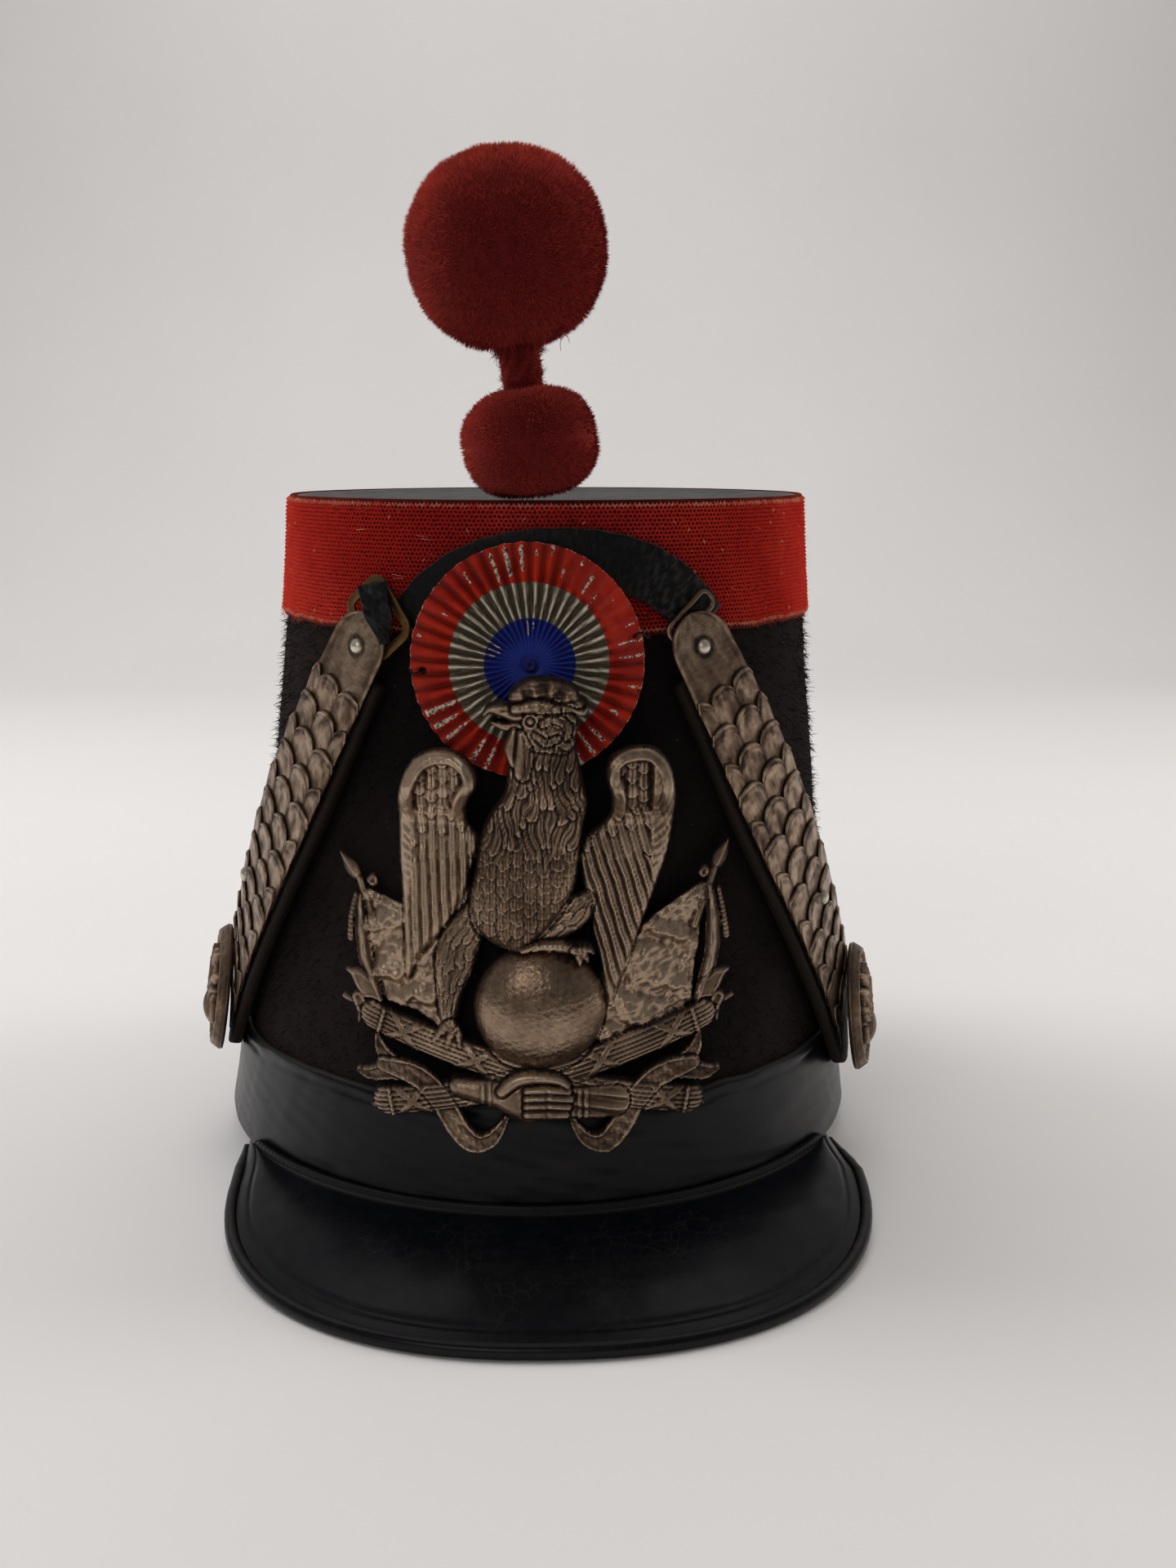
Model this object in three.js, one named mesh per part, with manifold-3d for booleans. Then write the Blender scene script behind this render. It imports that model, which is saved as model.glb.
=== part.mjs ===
// A nineteenth-century infantry shako, standing by itself on a table.
// It rests on the front of its peak and on the back of its leather base band.
// Millimetres, +Z up, the front of the cap towards -Y. The origin is on the table,
// at the middle of the ground that the whole cap covers.
import * as THREE from "three";
import { mergeVertices } from "three/addons/utils/BufferGeometryUtils.js";
import Module from "manifold-3d";

const wasm = await Module();
wasm.setup();

const DEGREE = Math.PI / 180;
const AROUND = 48; // facets round the oval body

// The felt body is an oval cone. Its base plane rises towards the front, where the peak holds it up.
// It leans a little, so that its crown is further to the viewer's right than its base.
const BASE = { halfWidth: 83.2, halfDepth: 103.5, centreX: -1.4, centreY: 22.4, frontLift: 10 };
const CROWN = { halfWidth: 64.9, halfDepth: 73.6, centreX: 1.4, centreY: 8.4, height: 169.6 };
const FLARE = 1.25; // above 1, the wall is steep near the crown and opens out towards the base
const WALL = 3;
const GAP = 0.3;

// Places down the body are a share of its height: 0 at the crown and 1 at the base edge.
const CROWN_DISC = { thickness: 1.7, sink: 1.2, shellTop: 0.0145 };
const RED_BAND = { top: -0.002, bottom: 0.18, inner: 0.3, outer: 1.6 };
const LEATHER_BAND = { top: 0.835, bottom: 1, inner: 0.3, outer: 1.8 };

const PEAK = {
  jointTurn: 55, flangeTop: 0.978, inner: 2.1, outer: 3.8,
  centreX: 0.9, halfWidth: 75.9, shoulderY: -50, tipY: -126, squareness: 2.25, shoulderShare: 0.84,
  thickness: 1.9, bulge: 2.6, weltGap: 0.5,
};
const WELT = { radius: 1.7, endTurn: 58.5, endDrop: 0.985, endOut: 3.9, flatY: -112, lift: 6 };

const COCKADE = { radius: 25.7, hole: 1.4, folds: 36, plate: 0.8, fold: 1, x: -4.2, drop: 0.214, out: 4.4 };
const BADGE = { x: -1.6, z: 79.4, back: 2.4, neckZ: 99, lift: 5, hollow: 16 };

// The arched strap over the cockade. Its turns count from its own middle, a little to the viewer's right.
const ARCH = { middle: 2, halfTurn: 28, topDrop: 0.074, curve: 7e-5, droop: 7e-8, halfWidth: 6.3, inner: 2.4, outer: 4 };

// The two chin straps, fastened up over the front. Distances along one are counted from its upper, narrow end.
const STRAPS = {
  left: { topTurn: -30.5, topDrop: 0.15, rosetteTurn: -75.5, rosetteDrop: 0.79, rosetteYaw: 0 },
  right: { topTurn: 25.5, topDrop: 0.155, rosetteTurn: 68.5, rosetteDrop: 0.81, rosetteYaw: 3 },
};
const STRAP = { endHalfWidth: 8, halfWidth: 12, widens: 62, tail: 16 };
const BACKING = { start: 13, overhang: 1.8, inner: 2.1, outer: 5.4 };
const SCALE = { rows: 13, pitch: 7.8, length: 13.5, firstRoot: 31, metal: 0.6, gap: 0.28, root: 5.7, lobes: 3, dome: 0.7 };
const RIVET = { along: 8, lowerRow: 7, lowerAcross: 0.45, profile: [[0, 0], [1.9, 0], [1.7, 0.7], [0, 1.2]] };
const ROSETTE = { radius: 16.5, out: 8.3, plate: 1.1, rim: 2.2 };

const POMPOM = {
  x: -1.2, y: -58, lean: -6.8,
  small: { halfWidth: 15.5, height: 25, square: 2.5 },
  neck: { radius: 4.4, height: 6.2 },
  large: { halfWidth: 22.4, height: 44, square: 2.15 },
};

const FINISH = {
  felt: { color: 0x17130f, roughness: 0.95, metalness: 0 },
  wool: { color: 0xa3150c, roughness: 0.9, metalness: 0 },
  plush: { color: 0x7a100c, roughness: 0.95, metalness: 0 },
  leather: { color: 0x101113, roughness: 0.35, metalness: 0 },
  silver: { color: 0x6f6455, roughness: 0.42, metalness: 1 },
  brass: { color: 0x6d5530, roughness: 0.45, metalness: 1 },
  paint: { color: 0xa02a16, roughness: 0.5, metalness: 0.2 },
};

const hat = new THREE.Group();
const materials = Object.fromEntries(
  Object.entries(FINISH).map(([name, look]) => [name, new THREE.MeshStandardMaterial(look)]),
);

function addPiece(name, geometry, finish, parent = hat) {
  const piece = new THREE.Mesh(geometry, materials[finish]);
  piece.name = name;
  parent.add(piece);
  return piece;
}

const mix = THREE.MathUtils.lerp;

// How far the body has opened out from its crown at a drop.
const opening = (drop) => Math.sign(drop) * Math.abs(drop) ** FLARE;

function ovalAt(drop) {
  const open = opening(drop);
  return {
    halfWidth: mix(CROWN.halfWidth, BASE.halfWidth, open),
    halfDepth: mix(CROWN.halfDepth, BASE.halfDepth, open),
    centreX: mix(CROWN.centreX, BASE.centreX, open),
    centreY: mix(CROWN.centreY, BASE.centreY, open),
  };
}

// Height of the base plane at a y. It touches the table at the back of the leather band.
const BACK_Y = BASE.centreY + BASE.halfDepth + LEATHER_BAND.outer;
const baseHeight = (y) => (BASE.frontLift * (BACK_Y - y)) / (2 * BASE.halfDepth);

// The level direction straight out of the body at a turn.
function outward(turn, drop) {
  const oval = ovalAt(drop);
  return new THREE.Vector3(Math.sin(turn) / oval.halfWidth, -Math.cos(turn) / oval.halfDepth, 0).normalize();
}

// A point of the body: turn is 0 at the front and grows to the viewer's right, out is a level offset.
function bodyPoint(turn, drop, out = 0) {
  const oval = ovalAt(drop);
  const point = outward(turn, drop).multiplyScalar(out);
  point.x += oval.centreX + oval.halfWidth * Math.sin(turn);
  point.y += oval.centreY - oval.halfDepth * Math.cos(turn);
  point.z = mix(CROWN.height, baseHeight(point.y), drop);
  return point;
}

// The direction square to the wall at a turn and drop.
function wallNormal(turn, drop) {
  const round = bodyPoint(turn + 0.01, drop).sub(bodyPoint(turn - 0.01, drop));
  const upward = bodyPoint(turn, drop - 0.01).sub(bodyPoint(turn, drop + 0.01));
  return round.cross(upward).normalize();
}

// The turn and drop of a point that stands out from the front of the body, given by its x and height.
function onFace(x, z, out) {
  let turn = 0;
  let drop = 0;
  for (let pass = 0; pass < 6; pass++) {
    drop = (CROWN.height - z) / (CROWN.height - baseHeight(bodyPoint(turn, drop, out).y));
    const oval = ovalAt(drop);
    turn = Math.asin((x - oval.centreX - out * outward(turn, drop).x) / oval.halfWidth);
  }
  return { turn, drop };
}

function facePoint(x, z, out) {
  const { turn, drop } = onFace(x, z, out);
  return bodyPoint(turn, drop, out);
}

// Turns a geometry's faces round if they point inwards, and drops everything but its shape.
function facingOut(geometry) {
  const shape = geometry.index ? geometry.toNonIndexed() : geometry.clone();
  shape.deleteAttribute("normal");
  shape.deleteAttribute("uv");
  const merged = mergeVertices(shape, 1e-4);
  const position = merged.getAttribute("position");
  const index = merged.index.array;
  const [a, b, c] = [new THREE.Vector3(), new THREE.Vector3(), new THREE.Vector3()];
  let volume = 0;
  for (let i = 0; i < index.length; i += 3) {
    a.fromBufferAttribute(position, index[i]);
    b.fromBufferAttribute(position, index[i + 1]);
    c.fromBufferAttribute(position, index[i + 2]);
    volume += a.dot(b.cross(c));
  }
  if (volume < 0)
    for (let i = 0; i < index.length; i += 3) [index[i + 1], index[i + 2]] = [index[i + 2], index[i + 1]];
  return merged;
}

// A closed sheet. point(u, v, side) gives its outer face where side is 1 and its inner face where side is 0.
// With ring set, u runs once round and the sheet closes on itself.
function sheet(across, along, point, ring = false) {
  const columns = ring ? across : across + 1;
  const positions = [];
  for (const side of [1, 0])
    for (let j = 0; j <= along; j++)
      for (let i = 0; i < columns; i++) positions.push(...point(i / across, j / along, side).toArray());
  const at = (i, j, side) => (side ? 0 : columns * (along + 1)) + j * columns + (i % columns);
  const index = [];
  const quad = (a, b, c, d) => index.push(a, b, c, a, c, d);
  for (let i = 0; i < across; i++) {
    for (let j = 0; j < along; j++) {
      quad(at(i, j, 1), at(i + 1, j, 1), at(i + 1, j + 1, 1), at(i, j + 1, 1));
      quad(at(i, j, 0), at(i, j + 1, 0), at(i + 1, j + 1, 0), at(i + 1, j, 0));
    }
    quad(at(i, 0, 0), at(i + 1, 0, 0), at(i + 1, 0, 1), at(i, 0, 1));
    quad(at(i, along, 1), at(i + 1, along, 1), at(i + 1, along, 0), at(i, along, 0));
  }
  if (!ring)
    for (let j = 0; j < along; j++) {
      quad(at(0, j, 0), at(0, j, 1), at(0, j + 1, 1), at(0, j + 1, 0));
      quad(at(across, j, 1), at(across, j, 0), at(across, j + 1, 0), at(across, j + 1, 1));
    }
  const geometry = new THREE.BufferGeometry();
  geometry.setAttribute("position", new THREE.Float32BufferAttribute(positions, 3));
  geometry.setIndex(index);
  return facingOut(geometry);
}

// A turned solid about +Z, from rows of radius and height that start and end on the axis.
function turned(profile, facets) {
  const points = profile.map(([radius, height]) => new THREE.Vector2(radius, height));
  return facingOut(new THREE.LatheGeometry(points, facets).rotateX(Math.PI / 2));
}

function toSolid(geometry) {
  const shape = facingOut(geometry);
  return new wasm.Manifold(
    new wasm.Mesh({
      numProp: 3,
      vertProperties: shape.getAttribute("position").array,
      triVerts: new Uint32Array(shape.index.array),
    }),
  );
}

// Joins closed geometries into one solid.
function fuse(geometries) {
  const { numProp, vertProperties, triVerts } = geometries
    .map(toSolid)
    .reduce((whole, next) => whole.add(next))
    .getMesh();
  const geometry = new THREE.BufferGeometry();
  const positions = new THREE.InterleavedBuffer(vertProperties, numProp);
  geometry.setAttribute("position", new THREE.InterleavedBufferAttribute(positions, 3, 0));
  geometry.setIndex(new THREE.BufferAttribute(triVerts, 1));
  return geometry.toNonIndexed();
}

// Moves every vertex of a geometry by a function of its place.
function bend(geometry, place) {
  const position = geometry.getAttribute("position");
  for (let i = 0; i < position.count; i++) {
    const p = place(position.getX(i), position.getY(i), position.getZ(i));
    position.setXYZ(i, p.x, p.y, p.z);
  }
  return geometry;
}

function buildBody() {
  // The wall has a row of facets at every edge of the bands, so that they lie flat on it.
  const rows = [CROWN_DISC.shellTop, RED_BAND.bottom, 0.5, LEATHER_BAND.top, 1];
  const shell = (u, v, side) => bodyPoint(u * 2 * Math.PI, rows[Math.round(v * 4)], side ? 0 : -WALL);
  addPiece("body_shell", sheet(AROUND, 4, shell, true), "felt");

  const { thickness, sink } = CROWN_DISC;
  const disc = turned([[0, -thickness], [1, -thickness], [1, 0], [0.93, 0], [0.86, -sink * 0.6], [0, -sink]]
    .map(([share, height]) => [share * CROWN.halfWidth, height]), AROUND);
  disc.scale(1, CROWN.halfDepth / CROWN.halfWidth, 1).translate(CROWN.centreX, CROWN.centreY, CROWN.height);
  addPiece("crown_top", disc, "leather");

  const band = (size) => (u, v, side) =>
    bodyPoint(u * 2 * Math.PI, mix(size.top, size.bottom, v), side ? size.outer : size.inner);
  addPiece("red_band", sheet(AROUND, 1, band(RED_BAND), true), "wool");
  addPiece("leather_band", sheet(AROUND, 1, band(LEATHER_BAND), true), "leather");
}

// Middle line of the welt on the peak's edge. share runs from -1 at the viewer's left end to 1.
function weltPoint(share) {
  const { centreX, halfWidth, shoulderY, tipY, squareness, shoulderShare } = PEAK;
  const side = Math.sign(share) || 1;
  const part = Math.abs(share);
  const end = bodyPoint(side * WELT.endTurn * DEGREE, WELT.endDrop, WELT.endOut);
  const plan = new THREE.Vector3();
  if (part < shoulderShare) {
    const angle = (part / shoulderShare) * (Math.PI / 2);
    const power = 2 / squareness;
    plan.set(side * halfWidth * Math.sin(angle) ** power, shoulderY + (tipY - shoulderY) * Math.cos(angle) ** power, 0);
    plan.x += centreX;
  } else {
    plan.set(centreX + side * halfWidth, shoulderY, 0).lerp(end, (part - shoulderShare) / (1 - shoulderShare));
  }
  const rise = Math.max(0, (plan.y - WELT.flatY) / (end.y - WELT.flatY));
  plan.z = WELT.radius + WELT.lift * rise ** 1.6;
  return plan;
}

class WeltCurve extends THREE.Curve {
  getPoint(t, target = new THREE.Vector3()) {
    return target.copy(weltPoint(2 * t - 1));
  }
}

// A round bar along a curve, with a regular polygon as its section.
function bar(curve, radius, sides, steps) {
  const corners = Array.from({ length: sides }, (_, i) => {
    const angle = (i / sides) * 2 * Math.PI;
    return new THREE.Vector2(radius * Math.cos(angle), radius * Math.sin(angle));
  });
  const settings = { steps, extrudePath: curve, bevelEnabled: false };
  return facingOut(new THREE.ExtrudeGeometry(new THREE.Shape(corners), settings));
}

function buildPeak() {
  const flangeRows = 1;
  const brimRows = 4;
  const point = (u, v, side) => {
    const share = 2 * u - 1;
    const turn = PEAK.jointTurn * DEGREE * share;
    const row = v * (flangeRows + brimRows);
    const out = side ? PEAK.outer : PEAK.inner;
    if (row < 0.5) return bodyPoint(turn, PEAK.flangeTop, out);
    const joint = bodyPoint(turn, 1, out);
    if (side) joint.z += PEAK.thickness;
    const edge = weltPoint(share);
    const tangent = weltPoint(Math.min(1, share + 0.01)).sub(weltPoint(Math.max(-1, share - 0.01)));
    const inward = new THREE.Vector3(-tangent.y, tangent.x, 0).normalize();
    edge.addScaledVector(inward, WELT.radius + PEAK.weltGap);
    edge.z += (side ? 0.5 : -0.5) * PEAK.thickness;
    const along = (row - flangeRows) / brimRows;
    const spot = joint.lerp(edge, along);
    spot.z += PEAK.bulge * Math.sin(Math.PI * along) * Math.cos(turn);
    return spot;
  };
  addPiece("peak", sheet(24, flangeRows + brimRows, point), "leather");
  addPiece("peak_welt", bar(new WeltCurve(), WELT.radius, 8, 40), "leather");
}

// A frame on the body: its own Z points square out of the wall, its own Y up it.
function wallFrame(turn, drop, out) {
  const up = bodyPoint(turn, drop - 0.01).sub(bodyPoint(turn, drop + 0.01)).normalize();
  const normal = wallNormal(turn, drop);
  const right = new THREE.Vector3().crossVectors(up, normal);
  const frame = new THREE.Group();
  const middle = bodyPoint(turn, drop).addScaledVector(normal, out);
  frame.applyMatrix4(new THREE.Matrix4().makeBasis(right, up, normal).setPosition(middle));
  hat.add(frame);
  return frame;
}

function buildCockade() {
  const turn = Math.asin(COCKADE.x / ovalAt(COCKADE.drop).halfWidth);
  const frame = wallFrame(turn, COCKADE.drop, COCKADE.out);
  const halfFolds = 2 * COCKADE.folds;
  const point = (u, v, side) => {
    const radius = mix(COCKADE.hole, COCKADE.radius, v);
    const raised = Math.round(u * halfFolds) % 2;
    const top = COCKADE.plate + COCKADE.fold * raised * (radius / COCKADE.radius);
    const angle = u * 2 * Math.PI;
    return new THREE.Vector3(radius * Math.cos(angle), radius * Math.sin(angle), side ? top : 0);
  };
  addPiece("cockade", sheet(halfFolds, 1, point, true), "paint", frame);
}

// Forms of the badge, each a ridge along a line: rows of x, y and half width in the badge's own plane.
// y is counted from the badge's middle height, and rise is how far the ridge stands out.
const BADGE_FORMS = {
  trunk: { rise: 7, rows: [[0.4, 40.3, 6.6], [1.5, 32.8, 7.9], [1.2, 26.1, 9.9], [-0.6, 19.3, 11.9],
    [-2.8, 10.5, 12.3], [-5.3, 3.7, 10.6], [-8, -2, 7.1], [-9, -7, 3.6]] },
  head: { rise: 5, rows: [[0.5, 50.5, 3.5], [0.5, 46, 6], [0.4, 38, 7]] },
  comb: { rise: 3, rows: [[-6, 50.2, 0.8], [0, 51.6, 2], [6, 51, 1.9], [10.5, 49.8, 0.9]] },
  beak: { rise: 3.4, rows: [[2, 45.5, 2.6], [-5, 45.8, 1.8], [-10, 46.4, 0.5]] },
  left_wing: { rise: 3.6, rows: [[-21.9, 36.6, 3.4], [-21.9, 31.5, 8.5], [-22, 23.7, 9], [-22.7, 14.9, 8.2],
    [-23.5, 5.5, 7.1], [-25, -2, 5.2], [-27.2, -9.6, 2.8], [-29.5, -15.6, 0.5]] },
  right_wing: { rise: 3.6, rows: [[22, 37, 3.2], [22.5, 31.6, 7.3], [23.2, 23.7, 7.5], [21.4, 17.6, 8.5],
    [20.6, 11.6, 8.2], [19, 0.5, 5.7], [17.6, -10.4, 3], [16, -20, 0.5]] },
  left_leg: { rise: 4.6, rows: [[-12, -3, 3.5], [-16.5, -8.5, 4.5], [-19, -14, 2.8], [-20.5, -26, 1.7]] },
  right_leg: { rise: 4.6, rows: [[-4, -6, 1.8], [3, -2.5, 3], [8, 1, 3.2], [10.5, 2.8, 1.6]] },
  left_flag: { rise: 1.7, rows: [[-40.2, -6.5, 9], [-33, -9.5, 9.8], [-27, -12.5, 9], [-16, -18, 7.5]] },
  right_flag: { rise: 1.7, rows: [[39.5, -5.5, 10], [33, -8.5, 11], [26, -12.5, 10.5], [12, -21, 7]] },
  left_spear: { rise: 1.5, rows: [[-45.5, 9.4, 0.4], [-42.5, 7, 1.7], [-40, 4.5, 1.1], [-36, -6, 1.1]] },
  right_spear: { rise: 1.5, rows: [[43.7, 12.9, 0.4], [42.2, 9.5, 1.6], [40.3, 6.6, 1.1], [35.6, -5, 1.1]] },
  left_axe: { rise: 2, rows: [[-44.3, -16.6, 1], [-40.5, -19.8, 3.6], [-35, -23, 3]] },
  right_axe: { rise: 2, rows: [[44.3, -16.6, 1], [40.5, -19.8, 3.6], [35, -23, 3]] },
  left_spike: { rise: 1.8, rows: [[-44.5, -23.2, 0.6], [-40.8, -24, 1.9], [-35, -25.4, 1.7]] },
  right_spike: { rise: 1.8, rows: [[45.3, -21.8, 0.6], [41, -23.6, 1.9], [35, -25, 1.7]] },
  fasces_down: { rise: 3.2, rows: [[-37, -25.6, 2.9], [-18, -31, 3], [0, -36, 3], [18, -40.5, 2.9], [34.6, -44.2, 2.7]] },
  fasces_up: { rise: 3.2, rows: [[-34.6, -44.2, 2.7], [-18, -40.5, 2.9], [0, -36, 3], [18, -31, 3], [37, -25.6, 2.9]] },
  left_ribbon: { rise: 2.5, rows: [[-38.4, -38.6, 0.5], [-33, -37.1, 2.4], [-26.4, -37.2, 2.5], [-22, -41.2, 2.5],
    [-18.7, -46.7, 2.5], [-14.5, -50.6, 2.2], [-9.5, -49.3, 1.2], [-7.3, -45, 0.4]] },
  right_ribbon: { rise: 2.5, rows: [[38.7, -37.4, 0.5], [33.3, -36.6, 2.4], [27, -36.8, 2.5], [22.4, -41, 2.5],
    [19.2, -46.7, 2.5], [15.2, -51, 2.2], [9.8, -49.6, 1.2], [7.3, -45.6, 0.4]] },
  left_tail: { rise: 2, rows: [[-36.6, -29.6, 0.4], [-34.8, -33.4, 1.5], [-31, -37, 2]] },
  right_tail: { rise: 2, rows: [[36.8, -29.2, 0.4], [35, -33.2, 1.5], [31, -36.6, 2]] },
  hands: { rise: 5.2, rows: [[-15, -39.4, 2.2], [-10, -39.4, 2.6], [-6, -40.3, 4.2], [0, -41.5, 4.8], [5.6, -42, 4]] },
  sleeve: { rise: 3.8, rows: [[4, -41.4, 3.1], [10, -41.4, 3.2], [16, -41.8, 3.2]] },
};
const GLOBE = { x: 0.3, y: -20.6, radius: 13.7, rise: 8.2 };

// How far the back of the badge stands off the body. Its upper part clears the flat cockade.
function badgeBack(x, z) {
  const over = THREE.MathUtils.smoothstep(z, BADGE.neckZ, BADGE.neckZ + 10);
  return BADGE.back + over * (BADGE.lift + Math.min(Math.abs(x), BADGE.hollow) ** 2 / 126);
}

function badgePoint(x, y, height) {
  const z = BADGE.z + y;
  return facePoint(x + BADGE.x, z, badgeBack(x, z) + height);
}

// One ridge of the badge, with a rounded back across it.
function ridge({ rise, rows }) {
  const across = 4;
  const edgeRise = 0.3;
  const heights = [edgeRise, 0.86, 1, 0.86, edgeRise];
  const point = (u, v, side) => {
    const row = Math.round(v * (rows.length - 1));
    const [x, y, halfWidth] = rows[row];
    const before = rows[Math.max(row - 1, 0)];
    const after = rows[Math.min(row + 1, rows.length - 1)];
    const length = Math.hypot(after[0] - before[0], after[1] - before[1]);
    const sideways = (2 * u - 1) * halfWidth;
    const px = x - (sideways * (after[1] - before[1])) / length;
    const py = y + (sideways * (after[0] - before[0])) / length;
    const thin = Math.min(1, halfWidth / 1.5);
    const height = side ? rise * heights[Math.round(u * across)] * thin : 0;
    return badgePoint(px, py, height);
  };
  return sheet(across, rows.length - 1, point);
}

function buildBadge() {
  const { x, y, radius, rise } = GLOBE;
  const rings = [0, 0.5, 0.8, 0.96, 1];
  const dome = rings.map((share) => [share * radius, rise * Math.sqrt(1 - share * share * 0.93)]);
  const globe = bend(turned([...dome, [radius, 0], [0, 0]], 18), (px, py, pz) => badgePoint(px + x, py + y, pz));
  addPiece("badge", fuse([globe, ...Object.values(BADGE_FORMS).map(ridge)]), "silver");
}

// A point of the arched strap's middle line.
function archPoint(turn, out = 0) {
  const drop = ARCH.topDrop + ARCH.curve * turn ** 2 + ARCH.droop * turn ** 4;
  const side = (turn + ARCH.middle) * DEGREE;
  return bodyPoint(side, drop).addScaledVector(wallNormal(side, drop), out);
}

function buildArch() {
  const point = (u, v, side) => {
    const turn = mix(-ARCH.halfTurn, ARCH.halfTurn, v);
    const along = archPoint(turn + 0.5).sub(archPoint(turn - 0.5));
    const normal = archPoint(turn, 1).sub(archPoint(turn));
    const across = normal.cross(along).normalize();
    return archPoint(turn, side ? ARCH.outer : ARCH.inner).addScaledVector(across, (2 * u - 1) * ARCH.halfWidth);
  };
  addPiece("arch_strap", sheet(1, 20, point), "leather");
}

// Middle line of a chin strap on the body, from its upper end past its rosette.
class StrapCurve extends THREE.Curve {
  constructor(strap, reach) {
    super();
    this.strap = strap;
    this.reach = reach;
  }
  turnAt(t) {
    return mix(this.strap.topTurn, this.strap.rosetteTurn, t * this.reach) * DEGREE;
  }
  dropAt(t) {
    return mix(this.strap.topDrop, this.strap.rosetteDrop, t * this.reach);
  }
  getPoint(t, target = new THREE.Vector3()) {
    return target.copy(bodyPoint(this.turnAt(t), this.dropAt(t)));
  }
}

// Returns place(along, across, out), which gives a point on a strap.
function strapPlacer(strap) {
  const curve = new StrapCurve(strap, 1.3);
  const whole = curve.getLength();
  return (along, across, out) => {
    const t = curve.getUtoTmapping(THREE.MathUtils.clamp(along / whole, 0, 1));
    const normal = wallNormal(curve.turnAt(t), curve.dropAt(t));
    const sideways = curve.getTangent(t).cross(normal).normalize();
    return curve.getPoint(t).addScaledVector(sideways, across).addScaledVector(normal, out);
  };
}

// The strap is narrow at its upper end.
const strapHalfWidth = (along) =>
  mix(STRAP.endHalfWidth, STRAP.halfWidth, THREE.MathUtils.smoothstep(along, 0, STRAP.widens));

// Half width of a rounded strap end at a distance from its tip.
function roundEnd(distance, halfWidth) {
  const inside = THREE.MathUtils.clamp(distance / halfWidth, 0.12, 1);
  return halfWidth * Math.sqrt(1 - (1 - inside) ** 2);
}

const scaleSlope = (SCALE.metal + SCALE.gap) / SCALE.pitch;

// One row of metal scales. It is held at its root, and its lobed free edge lies over the row above.
function scaleRow(place, row) {
  const root = SCALE.firstRoot + row * SCALE.pitch;
  const halfWidth = strapHalfWidth(root - SCALE.length / 2);
  const lobe = (2 * halfWidth) / SCALE.lobes;
  const shift = row % 2 ? 0.5 : 0;
  const point = (u, v, side) => {
    const inLobe = ((u * SCALE.lobes + shift) % 1) * 2 - 1;
    const round = (1 - Math.sqrt(1 - inLobe ** 2)) * lobe * 0.35;
    const reach = v * (SCALE.length - round);
    const dome = SCALE.dome * (1 - inLobe ** 2) * Math.sin(Math.PI * v * 0.8) * 0.5;
    const out = SCALE.root + scaleSlope * reach + (side ? SCALE.metal + dome : 0);
    return place(root - reach, mix(-halfWidth, halfWidth, u), out);
  };
  return sheet(12, 2, point);
}

function addRivet(name, place, along, across, out) {
  const middle = place(along, across, out);
  const outer = place(along, across, out + 1).sub(middle).normalize();
  const rivet = turned(RIVET.profile, 10);
  rivet.applyQuaternion(new THREE.Quaternion().setFromUnitVectors(new THREE.Vector3(0, 0, 1), outer));
  addPiece(name, rivet.translate(middle.x, middle.y, middle.z), "silver");
}

function buildStrap(side) {
  const strap = STRAPS[side];
  const place = strapPlacer(strap);
  const length = new StrapCurve(strap, 1).getLength() + STRAP.tail;

  const backing = (u, v, face) => {
    const along = mix(BACKING.start, length, v);
    const halfWidth = roundEnd(length - along, strapHalfWidth(along) + BACKING.overhang);
    return place(along, (2 * u - 1) * halfWidth, face ? BACKING.outer : BACKING.inner);
  };
  addPiece(`${side}_strap_backing`, sheet(1, 22, backing), "leather");

  for (let row = 0; row < SCALE.rows; row++)
    addPiece(`${side}_scale_${String(row + 1).padStart(2, "0")}`, scaleRow(place, row), "silver");

  const plateEnd = SCALE.firstRoot - SCALE.pitch;
  const endPlate = (u, v, face) => {
    const along = mix(plateEnd, 0, v);
    const halfWidth = roundEnd(along, strapHalfWidth(along));
    return place(along, (2 * u - 1) * halfWidth, SCALE.root + (face ? SCALE.metal : 0));
  };
  addPiece(`${side}_end_plate`, sheet(1, 10, endPlate), "silver");

  addRivet(`${side}_upper_rivet`, place, RIVET.along, 0, SCALE.root + SCALE.metal + GAP);
  const lowerAlong = SCALE.firstRoot + RIVET.lowerRow * SCALE.pitch - SCALE.length + 3.6;
  const lowerAcross = RIVET.lowerAcross * STRAP.halfWidth * Math.sign(strap.topTurn) * -1;
  const lowerOut = SCALE.root + scaleSlope * SCALE.length + SCALE.metal + SCALE.dome + 0.1;
  addRivet(`${side}_lower_rivet`, place, lowerAlong, lowerAcross, lowerOut);

  const frame = wallFrame(strap.rosetteTurn * DEGREE, strap.rosetteDrop, ROSETTE.out);
  frame.rotateY(strap.rosetteYaw * DEGREE);
  frame.translateZ(ROSETTE.radius * Math.sin(strap.rosetteYaw * DEGREE));
  addPiece(`${side}_rosette`, rosette(), "silver", frame);
}

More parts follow.
